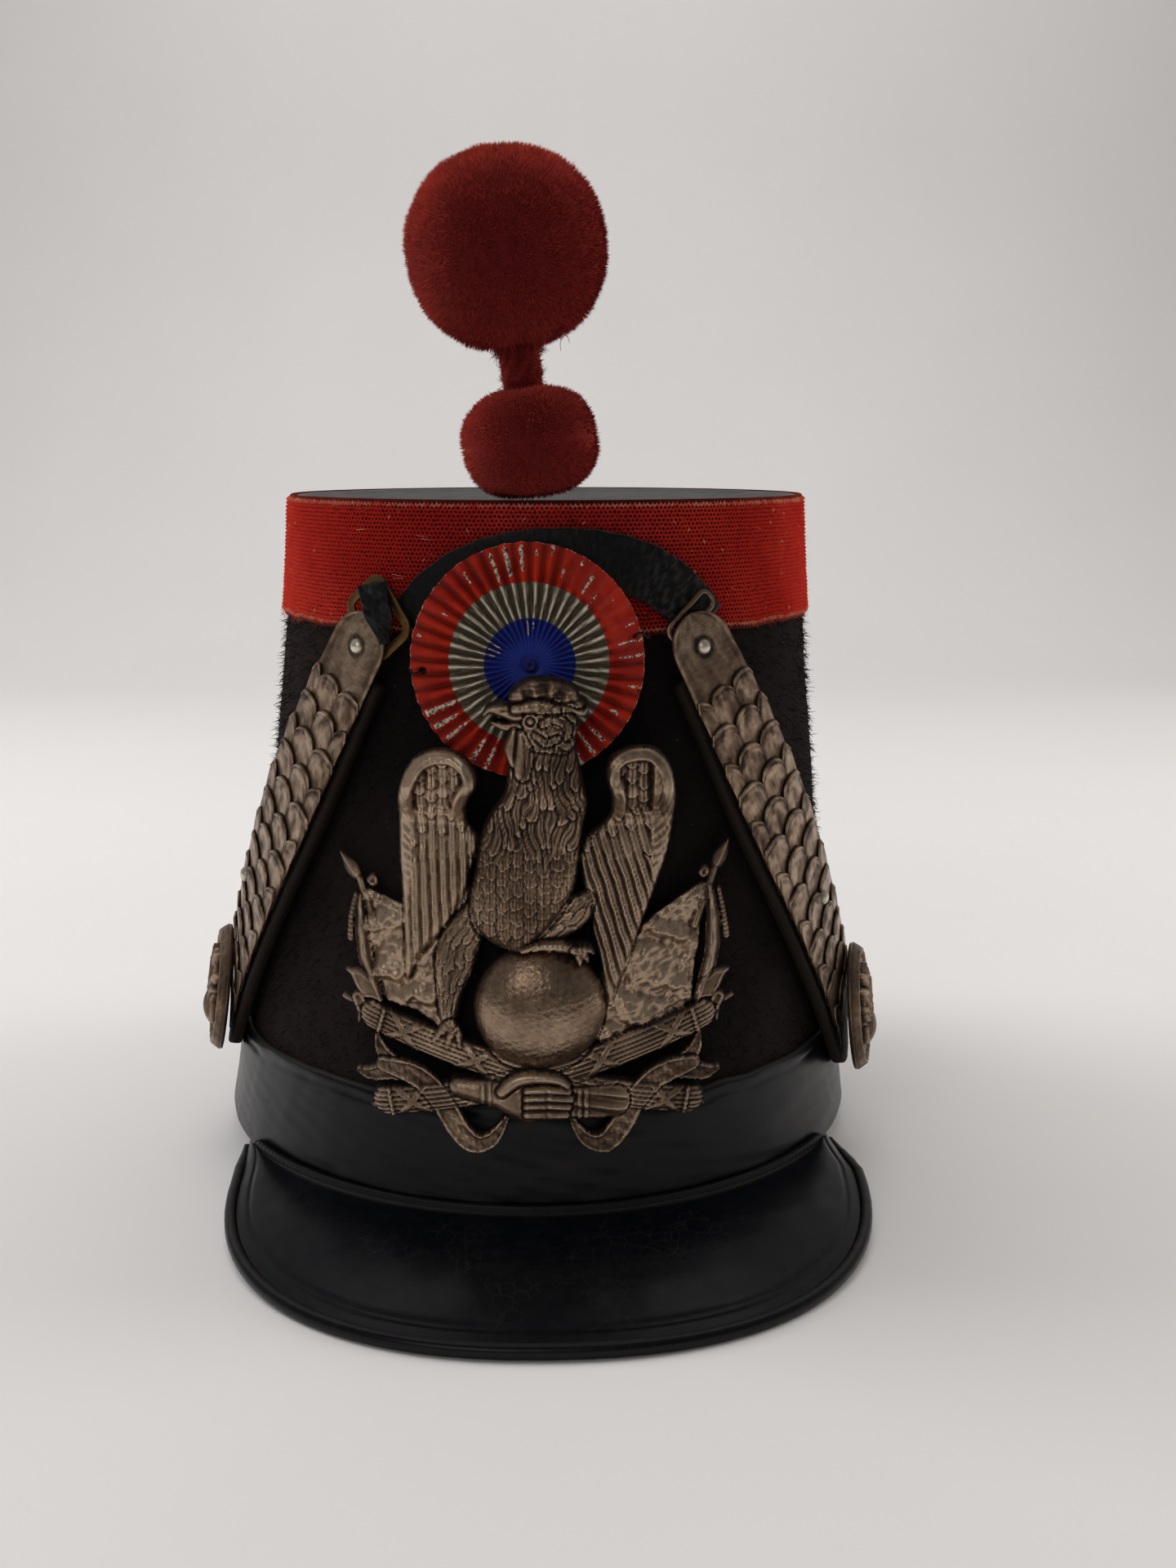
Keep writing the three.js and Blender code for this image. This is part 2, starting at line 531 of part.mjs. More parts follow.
// A round boss with a raised rim, and on it a round shell under a burst of flames.
function rosette() {
  const { radius, plate, rim } = ROSETTE;
  const disc = turned([[0, 0], [radius, 0], [radius, 0.8], [radius - 1, rim], [radius - 2.2, rim],
    [radius - 3.2, plate], [0, plate + 0.8]], 24);
  const ball = turned([[0, 0.4], [5.6, 0.4], [5.2, 2.6], [3.6, 4.2], [0, 4.8]], 12).translate(0, -5, 0);
  const flames = [[-38, 13.5], [-14, 15.5], [12, 15.5], [36, 13.5]].map(([lean, reach]) =>
    turned([[0, 0], [2.9, 2], [2.2, reach * 0.55], [0, reach]], 6)
      .scale(1, 0.75, 1)
      .rotateX(-Math.PI / 2)
      .rotateZ(-lean * DEGREE)
      .translate(0, -2.5, 1.9));
  return fuse([disc, ball, ...flames]);
}

// The brass buckle joins the arched strap to the viewer's left chin strap, and a wire loop to the right one.
const BUCKLE = { x: -36.6, z: 144.8, out: 4.3, width: 17.2, height: 13, bar: 2.3, thickness: 1, corner: 2.6, tilt: -47 };
const LOOP = { x: 32.6, z: 144, out: 4.4, width: 15, height: 5.4, bar: 1.1, thickness: 1, corner: 2, tilt: 41 };
// The end of the arched strap that comes through the buckle, from its upper end to its tip.
const TIP = { from: [-38.6, 153.6], to: [-34.2, 138.6], halfWidth: 3.9, inner: 6.7, outer: 7.9 };

function roundedRect(path, width, height, corner) {
  const [x, y] = [width / 2, height / 2];
  path.moveTo(-x + corner, -y);
  path.lineTo(x - corner, -y).quadraticCurveTo(x, -y, x, -y + corner);
  path.lineTo(x, y - corner).quadraticCurveTo(x, y, x - corner, y);
  path.lineTo(-x + corner, y).quadraticCurveTo(-x, y, -x, y - corner);
  path.lineTo(-x, -y + corner).quadraticCurveTo(-x, -y, -x + corner, -y);
  return path;
}

function flatFrame({ width, height, bar, corner, thickness }) {
  const outline = roundedRect(new THREE.Shape(), width, height, corner);
  outline.holes.push(roundedRect(new THREE.Path(), width - 2 * bar, height - 2 * bar, corner * 0.5));
  return facingOut(new THREE.ExtrudeGeometry(outline, { depth: thickness, bevelEnabled: false, curveSegments: 3 }));
}

function buildFasteners() {
  for (const [name, size, finish] of [["buckle", BUCKLE, "brass"], ["wire_loop", LOOP, "silver"]]) {
    const { turn, drop } = onFace(size.x, size.z, size.out);
    const frame = wallFrame(turn, drop, size.out);
    frame.rotateZ(size.tilt * DEGREE);
    addPiece(name, flatFrame(size), finish, frame);
  }
  const [dx, dz] = [TIP.to[0] - TIP.from[0], TIP.to[1] - TIP.from[1]];
  const length = Math.hypot(dx, dz);
  const tip = (u, v, side) => {
    const across = (2 * u - 1) * TIP.halfWidth;
    const x = TIP.from[0] + v * dx - (across * dz) / length;
    const z = TIP.from[1] + v * dz + (across * dx) / length;
    return facePoint(x, z, side ? TIP.outer : TIP.inner);
  };
  addPiece("strap_tip", sheet(2, 3, tip), "leather");
}

function buildPompom() {
  const frame = new THREE.Group();
  frame.position.set(POMPOM.x, POMPOM.y, CROWN.height + 0.5);
  frame.rotation.y = POMPOM.lean * DEGREE;
  hat.add(frame);

  const ball = ({ halfWidth, height, square }, facets, rings) => {
    const profile = [];
    for (let i = 0; i <= rings; i++) {
      const angle = (i / rings) * Math.PI;
      const radius = halfWidth * Math.abs(Math.sin(angle)) ** (2 / square);
      const level = Math.sign(-Math.cos(angle)) * Math.abs(Math.cos(angle)) ** (2 / square);
      profile.push([i % rings ? radius : 0, (height / 2) * (1 + level)]);
    }
    return turned(profile, facets);
  };
  const { small, neck, large } = POMPOM;
  addPiece("small_pompom", ball(small, 18, 10), "plush", frame);
  const waist = turned([[0, 0], [neck.radius, 0], [neck.radius * 0.94, neck.height / 2], [neck.radius, neck.height],
    [0, neck.height]], 12);
  addPiece("pompom_neck", waist.translate(0, 0, small.height + GAP), "plush", frame);
  addPiece("large_pompom", ball(large, 22, 14).translate(0, 0, small.height + neck.height + 2 * GAP), "plush", frame);
}

// Sets the origin at the middle of the ground that the cap covers.
const CENTRING = 1.47;
hat.position.x = CENTRING;

buildBody();
buildPeak();
buildCockade();
buildBadge();
buildArch();
buildStrap("left");
buildStrap("right");
buildFasteners();
buildPompom();

export default hat;
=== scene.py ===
# %% [markdown]
# # A felt shako with a bird badge, a painted cockade, metal scale straps and two plush balls
# The cap stands by itself on a pale table. This script loads the plain model of the cap, which is faceted, and builds
# each piece again as it looks: felt with a nap, knitted wool, glossed leather, stamped and tarnished metal, plush.
# Shapes are worked out in millimetres.

# %% Load the frame
import math

import bmesh
import bpy
import numpy as np
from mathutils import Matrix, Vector
from numpy import array, clip, concatenate, cos, hypot, linspace, maximum, minimum, pi, sin, sqrt, stack


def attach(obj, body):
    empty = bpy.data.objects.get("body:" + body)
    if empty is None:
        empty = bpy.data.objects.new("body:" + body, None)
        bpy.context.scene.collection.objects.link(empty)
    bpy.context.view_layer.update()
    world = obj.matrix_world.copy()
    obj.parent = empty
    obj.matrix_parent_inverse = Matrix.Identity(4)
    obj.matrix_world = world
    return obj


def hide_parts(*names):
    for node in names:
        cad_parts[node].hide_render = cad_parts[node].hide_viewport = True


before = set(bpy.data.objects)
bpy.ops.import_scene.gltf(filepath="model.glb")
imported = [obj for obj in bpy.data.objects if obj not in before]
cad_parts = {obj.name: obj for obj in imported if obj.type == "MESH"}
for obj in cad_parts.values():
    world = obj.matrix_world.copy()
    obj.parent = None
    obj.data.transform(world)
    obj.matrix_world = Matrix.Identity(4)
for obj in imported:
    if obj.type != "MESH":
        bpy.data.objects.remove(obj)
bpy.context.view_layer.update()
RNG = np.random.default_rng(1855)
MM = 0.001

# %% [markdown]
# ## The wall of the cap as a surface
# Every piece lies on the same tapered oval wall. The real one is a felt cone blocked over a wooden form, wider at the
# base and a little askew. `wall` gives its points from a turn round the cap and a drop from the crown to the base,
# so that bands, straps and metalwork can all be laid on it with one call.

# %% The wall as a function
BASE = (83.2, 103.5, -1.4, 22.4)  # half width, half depth, middle x, middle y
CROWN = (64.9, 73.6, 1.4, 8.4)
CROWN_Z = 169.6
FLARE = 1.25
FRONT_LIFT = 10.0
BACK_Y = BASE[3] + BASE[1] + 1.8
SHIFT_X = 1.47


def mix(a, b, t):
    return a + (b - a) * t


def ease(t, low=0.0, high=1.0):
    """0 below low, 1 above high, smooth in between."""
    t = clip((np.asarray(t, float) - low) / (high - low), 0, 1)
    return t * t * (3 - 2 * t)


def together(*values):
    """Numbers and arrays brought to one shape."""
    return np.broadcast_arrays(*(np.asarray(v, float) for v in values))


def ridge(distance, width):
    """1 where the distance is 0, falling to 0 at about twice the width."""
    return np.exp(-(distance / width) ** 2)


def turns_of(count):
    """Angles all the way round."""
    return linspace(0, 2 * pi, count, endpoint=False)


def crowded(count):
    """Stations from -1 to 1 that lie closer at both ends."""
    return sin(linspace(-1, 1, count) * pi / 2)


def unit(v):
    return v / maximum(np.linalg.norm(v, axis=-1, keepdims=True), 1e-9)


def oval(drop):
    opened = np.sign(drop) * np.abs(drop) ** FLARE
    return [mix(top, bottom, opened) for top, bottom in zip(CROWN, BASE)]


def wall(turn, drop, out=0.0):
    """Points of the wall, moved level outwards by out."""
    turn, drop, out = together(turn, drop, out)
    half_width, half_depth, middle_x, middle_y = oval(drop)
    level = unit(stack([sin(turn) / half_width, -cos(turn) / half_depth], -1))
    x = middle_x + half_width * sin(turn) + level[..., 0] * out
    y = middle_y - half_depth * cos(turn) + level[..., 1] * out
    base_z = FRONT_LIFT * (BACK_Y - y) / (2 * BASE[1])
    return stack([x + SHIFT_X, y, mix(CROWN_Z, base_z, drop)], -1)


def wall_normal(turn, drop):
    turn, drop = together(turn, drop)
    round_ = wall(turn + 0.01, drop) - wall(turn - 0.01, drop)
    upward = wall(turn, drop - 0.01) - wall(turn, drop + 0.01)
    return unit(np.cross(round_, upward))


def on_face(x, z, out=0.0):
    """Turn and drop of points of the front given by x and height. x is counted from the cap's own middle line."""
    x, z, out = together(x, z, out)
    turn = np.zeros_like(x)
    drop = np.zeros_like(x)
    for _ in range(6):  # closes in on the two, because the oval changes with the drop
        y = wall(turn, drop, out)[..., 1]
        base_z = FRONT_LIFT * (BACK_Y - y) / (2 * BASE[1])
        drop = (CROWN_Z - z) / (CROWN_Z - base_z)
        half_width, half_depth, middle_x = oval(drop)[:3]
        level = unit(stack([sin(turn) / half_width, -cos(turn) / half_depth], -1))
        turn = np.arcsin(clip((x - middle_x - out * level[..., 0]) / half_width, -1, 1))
    return turn, drop


def face(x, z, out=0.0):
    turn, drop = on_face(x, z, out)
    return wall(turn, drop, out)


def wall_axes(turn, drop):
    """The directions right, up and outwards on the wall."""
    normal = wall_normal(turn, drop)
    up = unit(wall(turn, drop - 0.01) - wall(turn, drop + 0.01))
    return np.cross(up, normal), up, normal


def wall_frame(turn, drop, out):
    """Origin and axes of a flat spot on the wall."""
    right, up, normal = wall_axes(turn, drop)
    return wall(turn, drop) + normal * out, right, up, normal


print("front of the base", wall(0.0, 1.0).round(1), "back of the base", wall(pi, 1.0).round(1))

# %% [markdown]
# ## Mesh helpers
# Most pieces are grids of points: a sheet bent over the wall, a bar swept along a line. One helper turns such grids
# into closed meshes, another lays loose fibres. Fibres are thin tapered ribbons, because real strands of wool and
# plush are too many for curves, and a ribbon costs three triangles.

# %% Mesh helpers
def mesh_object(name, points, quads=(), tris=(), colour=None):
    """A mesh object from points in millimetres. colour gives each point three values from 0 to 1."""
    quads = np.asarray(quads, np.int64).reshape(-1, 4)
    tris = np.asarray(tris, np.int64).reshape(-1, 3)
    corners = concatenate([quads.ravel(), tris.ravel()])
    starts = concatenate([np.arange(len(quads)) * 4, len(quads) * 4 + np.arange(len(tris)) * 3])
    mesh = bpy.data.meshes.new(name)
    mesh.vertices.add(len(points))
    mesh.vertices.foreach_set("co", (np.asarray(points, float) * MM).ravel())
    mesh.loops.add(len(corners))
    mesh.loops.foreach_set("vertex_index", corners)
    mesh.polygons.add(len(starts))
    mesh.polygons.foreach_set("loop_start", starts)
    mesh.update(calc_edges=True)
    mesh.validate()
    mesh.polygons.foreach_set("use_smooth", np.ones(len(mesh.polygons), bool))
    if colour is not None:
        layer = mesh.color_attributes.new("shade", "FLOAT_COLOR", "POINT")
        rgba = concatenate([clip(colour, 0, 1), np.ones((len(points), 1))], 1)
        layer.data.foreach_set("color", rgba.ravel())
    obj = bpy.data.objects.new(name, mesh)
    bpy.context.scene.collection.objects.link(obj)
    return obj


def grid_quads(rows, columns, wrap_rows=False, wrap_columns=False, start=0):
    """Quads between the points of a grid that is stored row by row."""
    i = np.arange(rows if wrap_rows else rows - 1)[:, None]
    j = np.arange(columns if wrap_columns else columns - 1)[None, :]
    down, right = (i + 1) % rows, (j + 1) % columns
    quads = stack([i * columns + j, down * columns + j, down * columns + right, i * columns + right], -1)
    return quads.reshape(-1, 4) + start


class Heap:
    """Collects shapes that become one mesh."""

    def __init__(self):
        self.points, self.quads, self.tris, self.colours = [], [], [], []
        self.count = 0

    def add(self, points, quads=(), tris=(), colour=None):
        points = np.asarray(points, float).reshape(-1, 3)
        self.points.append(points)
        self.quads.append(np.asarray(quads, np.int64).reshape(-1, 4) + self.count)
        self.tris.append(np.asarray(tris, np.int64).reshape(-1, 3) + self.count)
        self.colours.append(np.zeros_like(points) if colour is None else np.asarray(colour).reshape(-1, 3))
        self.count += len(points)

    def tube(self, sections, closed=False, colour=None):
        """A closed body from a row of sections. Each section is a loop of the same number of points."""
        rows, columns = sections.shape[:2]
        points = sections.reshape(-1, 3)
        tris = ()
        if not closed:
            points = concatenate([points, sections[[0, -1]].mean(1)])
            ring = np.arange(columns)
            following = (ring + 1) % columns
            tail = (rows - 1) * columns
            first = np.full(columns, rows * columns)
            tris = concatenate([stack([first, ring, following], 1),
                                   stack([first + 1, tail + following, tail + ring], 1)])
        if colour is not None:
            colour = np.broadcast_to(colour, (*sections.shape[:2], 3))
            ends = [] if closed else [colour[0, :1], colour[-1, :1]]
            colour = concatenate([colour.reshape(-1, 3), *ends])
        self.add(points, grid_quads(rows, columns, closed, True), tris, colour)

    def make(self, name):
        obj = mesh_object(name, *map(concatenate, (self.points, self.quads, self.tris, self.colours)))
        face_out(obj)
        return obj


def tint(grid, red=0.0, green=0.0, blue=0.0):
    """Three values for each point of a grid. Each may be one number or a grid of numbers."""
    shade = np.zeros((*grid.shape[:2], 3))
    for channel, value in enumerate((red, green, blue)):
        shade[..., channel] = value
    return shade


def tube(name, sections, closed=False, colour=None):
    heap = Heap()
    heap.tube(sections, closed, colour)
    return heap.make(name)


def face_out(obj):
    """Turns all faces outwards."""
    shape = bmesh.new()
    shape.from_mesh(obj.data)
    bmesh.ops.recalc_face_normals(shape, faces=shape.faces)
    shape.to_mesh(obj.data)
    shape.free()


def slab(name, place, along, width, inner, outer, edge=0.6, across=14, detail=None, ends=0.6, colour=None):
    """A strap with rounded edges. place(along, across, out) gives its points, along is a list of stations, width a
    function of the station, and detail(along, share) a height that is added to the outer face."""
    across_share = crowded(across)
    stations = np.asarray(along, float)
    half = array([width(a) for a in stations])
    length_edge = minimum(stations - stations[0], stations[-1] - stations)
    grid_along = np.repeat(stations[:, None], across, 1)
    grid_across = half[:, None] * across_share[None, :]
    near = minimum(half[:, None] - np.abs(grid_across), length_edge[:, None] if ends else 1e9)
    rounding = sqrt(clip(1 - (1 - clip(near / edge, 0, 1)) ** 2, 0, 1))
    thickness = outer - inner
    middle = (inner + outer) / 2
    extra = detail(grid_along, across_share[None, :] + 0 * grid_along) if detail else 0.0
    top = place(grid_along, grid_across, middle + thickness / 2 * rounding + extra * rounding)
    bottom = place(grid_along, grid_across, middle - thickness / 2 * rounding)
    sections = concatenate([top, bottom[:, ::-1]], 1)
    shade = None
    if colour is not None:
        value = colour(grid_along, across_share[None, :] + 0 * grid_along)
        shade = concatenate([value, value[:, ::-1]], 1)
    return tube(name, sections, colour=shade)


def scatter(count, spread=1.0):
    return RNG.normal(size=(count, 3)) * spread


def strands(name, roots, tips, width, bow=None, colour=None):
    """Loose fibres: tapered ribbons from roots to tips that bend through bow."""
    count = len(roots)
    along = unit(tips - roots)
    side = unit(np.cross(along, scatter(count)))
    width = np.broadcast_to(np.asarray(width, float), (count,))[:, None]
    waist = (roots + tips) / 2 + (0 if bow is None else bow)
    points = stack([
        roots - side * width / 2, roots + side * width / 2,
        waist - side * width * 0.4, waist + side * width * 0.4, tips,
    ], 1).reshape(-1, 3)
    start = np.arange(count)[:, None] * 5
    quads = start + array([[0, 1, 3, 2]])
    tris = start + array([[2, 3, 4]])
    shade = None if colour is None else np.repeat(colour, 5, 0)
    return mesh_object(name, points, quads, tris, shade)


PIECES = {}


def finish(obj, slot, material, *nodes):
    """Gives a piece its material and its body, and hides the CAD nodes that it stands for. The slot is not used."""
    obj.data.materials.clear()
    obj.data.materials.append(material)
    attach(obj, "root")
    if nodes:
        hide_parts(*nodes)
    triangles = sum(len(p.vertices) - 2 for p in obj.data.polygons)
    PIECES[obj.name] = triangles
    print(f"{obj.name}: {triangles} triangles")
    return obj


def wobble(*coordinates, pitch, seed, layers=3):
    """Smooth seeded noise around 0 of points given by their coordinates, with bumps about pitch wide."""
    random = np.random.default_rng(seed)
    total = 0.0
    for layer in range(layers):
        size = 2 * pi / pitch * 1.9 ** layer
        for _ in range(4):
            direction = random.normal(size=len(coordinates))
            direction *= size * random.uniform(0.6, 1.2) / np.linalg.norm(direction)
            phase = sum(c * d for c, d in zip(coordinates, direction))
            total = total + sin(phase + random.uniform(0, 6.28)) * 0.5 / 1.6 ** layer
    return total / 2


print("helpers are ready")

# %% [markdown]
# ## Light, table and camera
# The photograph was taken indoors in front of a pale seamless paper, in soft light from above and from the viewer's
# left, without a hard shadow. Most light comes from above and from behind, so that the front of the cap stays dark and
# its sides and the plush have bright rims. Cool and warm side panels give the leather its streaks, and one panel only
# lights the paper.

# %% Light, table and camera
scene = bpy.context.scene


def panel(name, place, target, size, power, colour):
    light = bpy.data.lights.new(name, "AREA")
    light.shape = "RECTANGLE"
    light.size, light.size_y = size
    light.energy = power
    light.color = colour
    lamp = bpy.data.objects.new(name, light)
    lamp.location = place
    lamp.rotation_euler = (Vector(target) - Vector(place)).to_track_quat("-Z", "Y").to_euler()
    scene.collection.objects.link(lamp)
    return lamp


overhead = panel("panel_above", (-0.15, 0.15, 1.3), (0, 0.05, 0.08), (1.2, 1.0), 7.0, (1.0, 0.985, 0.965))
overhead.visible_glossy = False  # no sharp patch of it in the glossed leather
panel("panel_front", (-0.5, -1.3, 0.9), (0, 0, 0.08), (0.9, 0.7), 3.2, (1.0, 0.98, 0.95))
left = panel("panel_left", (-0.9, 0.3, 0.75), (0, 0, 0.15), (0.6, 0.8), 6.8, (0.96, 0.97, 1.0))
right = panel("panel_right", (1.0, 0.25, 0.5), (0, 0, 0.1), (0.5, 0.9), 6.0, (1.0, 0.98, 0.95))
left.visible_glossy = right.visible_glossy = False
panel("panel_paper", (0, 0.55, 1.6), (0, 1.4, 1.0), (2.0, 0.5), 9.0, (1.0, 0.985, 0.975))

# The room is darker behind the camera than behind the cap.
world = bpy.data.worlds.new("room")
scene.world = world
world.use_nodes = True
room = world.node_tree
to_side = room.nodes.new("ShaderNodeSeparateXYZ")
room.links.new(room.nodes.new("ShaderNodeTexCoord").outputs["Generated"], to_side.inputs[0])
level = room.nodes.new("ShaderNodeMapRange")
for title, number in (("From Min", -0.9), ("From Max", 0.6), ("To Min", 0.13), ("To Max", 0.34)):
    level.inputs[title].default_value = number
room.links.new(to_side.outputs["Y"], level.inputs["Value"])
room.links.new(level.outputs["Result"], room.nodes["Background"].inputs["Strength"])
room.nodes["Background"].inputs["Color"].default_value = (0.78, 0.78, 0.79, 1)

# The paper runs level to behind the cap and then curves up.
sweep = [(-1.4, 0.0), (0.9, 0.0)]
sweep += [(0.9 + 0.5 * math.sin(a), 0.5 - 0.5 * math.cos(a)) for a in linspace(0.12, pi / 2, 14)]
sweep += [(1.4, 0.95)]
paper_points = array([[(x, y, z) for x in (-2.2, 2.2)] for y, z in sweep]) / MM
paper = mesh_object("paper", paper_points.reshape(-1, 3), grid_quads(len(sweep), 2))

camera_data = bpy.data.cameras.new("camera")
camera_data.sensor_width = 36
camera_data.lens = 39.375
camera_data.dof.use_dof = False
camera = bpy.data.objects.new("camera", camera_data)
camera.location = (-0.00023, -0.445, 0.180)
camera.rotation_euler = (math.radians(79.1), 0, math.radians(-1.75))
scene.collection.objects.link(camera)
scene.camera = camera
scene.view_settings.view_transform = "Standard"
print("camera at", tuple(round(v, 3) for v in camera.location))

# %% [markdown]
# ## Node helpers
# Finishes are made of shader nodes. A small class adds and joins them with short calls, so that a material reads like
# a recipe.

# %% Node helpers
def new_group(name, inputs, outputs):
    group = bpy.data.node_groups.new(name, "ShaderNodeTree")
    for title, kind, value in inputs:
        socket = group.interface.new_socket(title, in_out="INPUT", socket_type=kind)
        socket.default_value = value
    for title in outputs:
        group.interface.new_socket(title, in_out="OUTPUT", socket_type="NodeSocketFloat")
    return group, group.nodes.new("NodeGroupInput"), group.nodes.new("NodeGroupOutput")


class Wiring:
    """Short ways to add nodes to a tree."""

    def __init__(self, tree):
        self.tree = tree

    def put(self, value, socket):
        if isinstance(value, bpy.types.NodeSocket):
            self.tree.links.new(value, socket)
        else:
            socket.default_value = value

    def node(self, kind, **settings):
        node = self.tree.nodes.new(kind)
        for key, value in settings.items():
            setattr(node, key, value)
        return node

    def math(self, operation, a, b=0.0, clamp=False):
        node = self.node("ShaderNodeMath", operation=operation, use_clamp=clamp)
        self.put(a, node.inputs[0])
        self.put(b, node.inputs[1])
        return node.outputs[0]

    def times(self, a, b):
        return self.math("MULTIPLY", a, b)

    def plus(self, a, b, clamp=False):
        return self.math("ADD", a, b, clamp)

    def minus(self, a, b, clamp=False):
        return self.math("SUBTRACT", a, b, clamp)

    def steps(self, value, low, high, to_low=0.0, to_high=1.0):
        node = self.node("ShaderNodeMapRange", interpolation_type="SMOOTHSTEP")
        self.put(value, node.inputs["Value"])
        for title, number in (("From Min", low), ("From Max", high), ("To Min", to_low), ("To Max", to_high)):
            self.put(number, node.inputs[title])
        return node.outputs["Result"]

    def noise(self, scale, detail=3.0, roughness=0.55, distortion=0.0):
        node = self.node("ShaderNodeTexNoise")
        self.put(self.place(), node.inputs["Vector"])
        values = {"Scale": scale, "Detail": detail, "Roughness": roughness, "Distortion": distortion}
        for title, value in values.items():
            self.put(value, node.inputs[title])
        return node.outputs["Fac"]

    def cells(self, scale, feature="DISTANCE_TO_EDGE"):
        node = self.node("ShaderNodeTexVoronoi", feature=feature)
        self.put(self.place(), node.inputs["Vector"])
        self.put(scale, node.inputs["Scale"])
        return node.outputs["Distance"]

    def blend(self, factor, a, b):
        node = self.node("ShaderNodeMix", data_type="RGBA")
        for socket, value in ((0, factor), (6, a), (7, b)):
            self.put(value, node.inputs[socket])
        return node.outputs[2]

    def place(self):
        return self.node("ShaderNodeTexCoord").outputs["Object"]

    def shade(self):
        """The three values that the mesh carries: hollow, second and third."""
        colours = self.node("ShaderNodeVertexColor", layer_name="shade")
        split = self.node("ShaderNodeSeparateColor")
        self.put(colours.outputs["Color"], split.inputs[0])
        return split.outputs

    def group(self, group, **values):
        node = self.node("ShaderNodeGroup")
        node.node_tree = group
        for title, value in values.items():
            self.put(value, node.inputs[title.replace("_", " ")])
        return node.outputs


print("node helpers are ready")

# %% [markdown]
# ## Shared surface effects
# The finishes share a few effects: tarnish that stays in the hollows, leather grain with fine cracks, fibre mottling
# and dust on upward faces. Each is a node group that is built once and only gives out masks and heights, so that
# every material mixes its own colours with it.

# %% Shared groups
def tarnish_group():
    """Metal: how much dark tarnish lies at a point, how bright the rubbed metal is, and fine pits."""
    group, given, out = new_group("tarnish", [("Hollow", "NodeSocketFloat", 0.5), ("Scale", "NodeSocketFloat", 1.0)],
                                  ["Tarnish", "Rub", "Pits"])
    w = Wiring(group)
    scale = given.outputs["Scale"]
    broad = w.noise(w.times(scale, 90.0), 4)
    fine = w.noise(w.times(scale, 700.0), 4, 0.65)
    hollow = given.outputs["Hollow"]
    mottled = w.plus(hollow, w.times(w.minus(broad, 0.5), 0.7))
    mottled = w.plus(mottled, w.times(w.minus(fine, 0.5), 0.5))
    w.put(w.steps(mottled, 0.3, 0.78), out.inputs["Tarnish"])
    w.put(w.steps(w.minus(fine, mottled), -0.05, 0.55), out.inputs["Rub"])
    w.put(w.steps(w.noise(w.times(scale, 1500.0), 2), 0.35, 0.6), out.inputs["Pits"])
    return group


def leather_group():
    """Leather: grain height, cracks and dull scuffs."""
    group, given, out = new_group("leather", [("Scale", "NodeSocketFloat", 1.0)], ["Grain", "Crack", "Scuff"])
    w = Wiring(group)
    scale = given.outputs["Scale"]
    grain = w.cells(w.times(scale, 1400.0), "F1")
    w.put(w.plus(w.times(grain, 0.6), w.times(w.noise(w.times(scale, 420.0)), 0.35)), out.inputs["Grain"])
    edge = w.cells(w.times(scale, 260.0))
    crack = w.minus(1.0, w.steps(edge, 0.0, 0.06))
    w.put(w.times(crack, w.steps(w.noise(w.times(scale, 60.0)), 0.45, 0.65)), out.inputs["Crack"])
    w.put(w.steps(w.noise(w.times(scale, 45.0), 5, 0.7), 0.52, 0.75), out.inputs["Scuff"])
    return group


def fibre_group():
    """Wool and felt: fine fibre mottling, broad fading, and lint."""
    group, given, out = new_group("fibre", [("Scale", "NodeSocketFloat", 1.0)], ["Fibre", "Fade", "Lint"])
    w = Wiring(group)
    scale = given.outputs["Scale"]
    w.put(w.noise(w.times(scale, 1900.0), 3, 0.7, distortion=1.5), out.inputs["Fibre"])
    w.put(w.noise(w.times(scale, 28.0), 3, 0.5), out.inputs["Fade"])
    w.put(w.steps(w.noise(w.times(scale, 620.0), 2, 0.5, distortion=2.5), 0.68, 0.76), out.inputs["Lint"])
    return group


def dust_group():
    """Dust: thin on upward faces, in patches."""
    group, given, out = new_group("dust", [("Amount", "NodeSocketFloat", 0.3)], ["Dust"])
    w = Wiring(group)
    split = w.node("ShaderNodeSeparateXYZ")
    w.put(w.node("ShaderNodeNewGeometry").outputs["Normal"], split.inputs[0])
    upward = w.steps(split.outputs["Z"], 0.25, 1.0)
    patch = w.steps(w.noise(300.0, 4, 0.7), 0.35, 0.75)
    w.put(w.times(w.times(upward, patch), given.outputs["Amount"]), out.inputs["Dust"])
    return group


TARNISH = tarnish_group()
LEATHER = leather_group()
FIBRE = fibre_group()
DUST = dust_group()
print("shared groups", [g.name for g in bpy.data.node_groups])

# %% [markdown]
# ## Materials
# Each material is one Principled shader with its colours mixed by the shared masks. Felt, knitted wool and plush are
# matt, with a little sheen for the light that fibres catch at a grazing view. The mesh says where wool lies deep and
# is painted dark as shade, and where it has faded.

# %% Felt, wool and plush
def material(name):
    made = bpy.data.materials.new(name)
    made.use_nodes = True
    return made, Wiring(made.node_tree), made.node_tree.nodes["Principled BSDF"]


def settle(w, shader, **values):
    """Sets or joins inputs of a shader by their names."""
    for title, value in values.items():
        w.put(value, shader.inputs[title.replace("_", " ")])


def bump(w, shader, height, distance, strength=1.0):
    node = w.node("ShaderNodeBump")
    w.put(height, node.inputs["Height"])
    node.inputs["Distance"].default_value = distance * MM
    node.inputs["Strength"].default_value = strength
    w.put(node.outputs["Normal"], shader.inputs["Normal"])


def rgb(red, green, blue):
    """A colour given as the screen shows it, 0 to 255."""
    linear = [(v / 255) ** 2.2 for v in (red, green, blue)]
    return (*linear, 1.0)


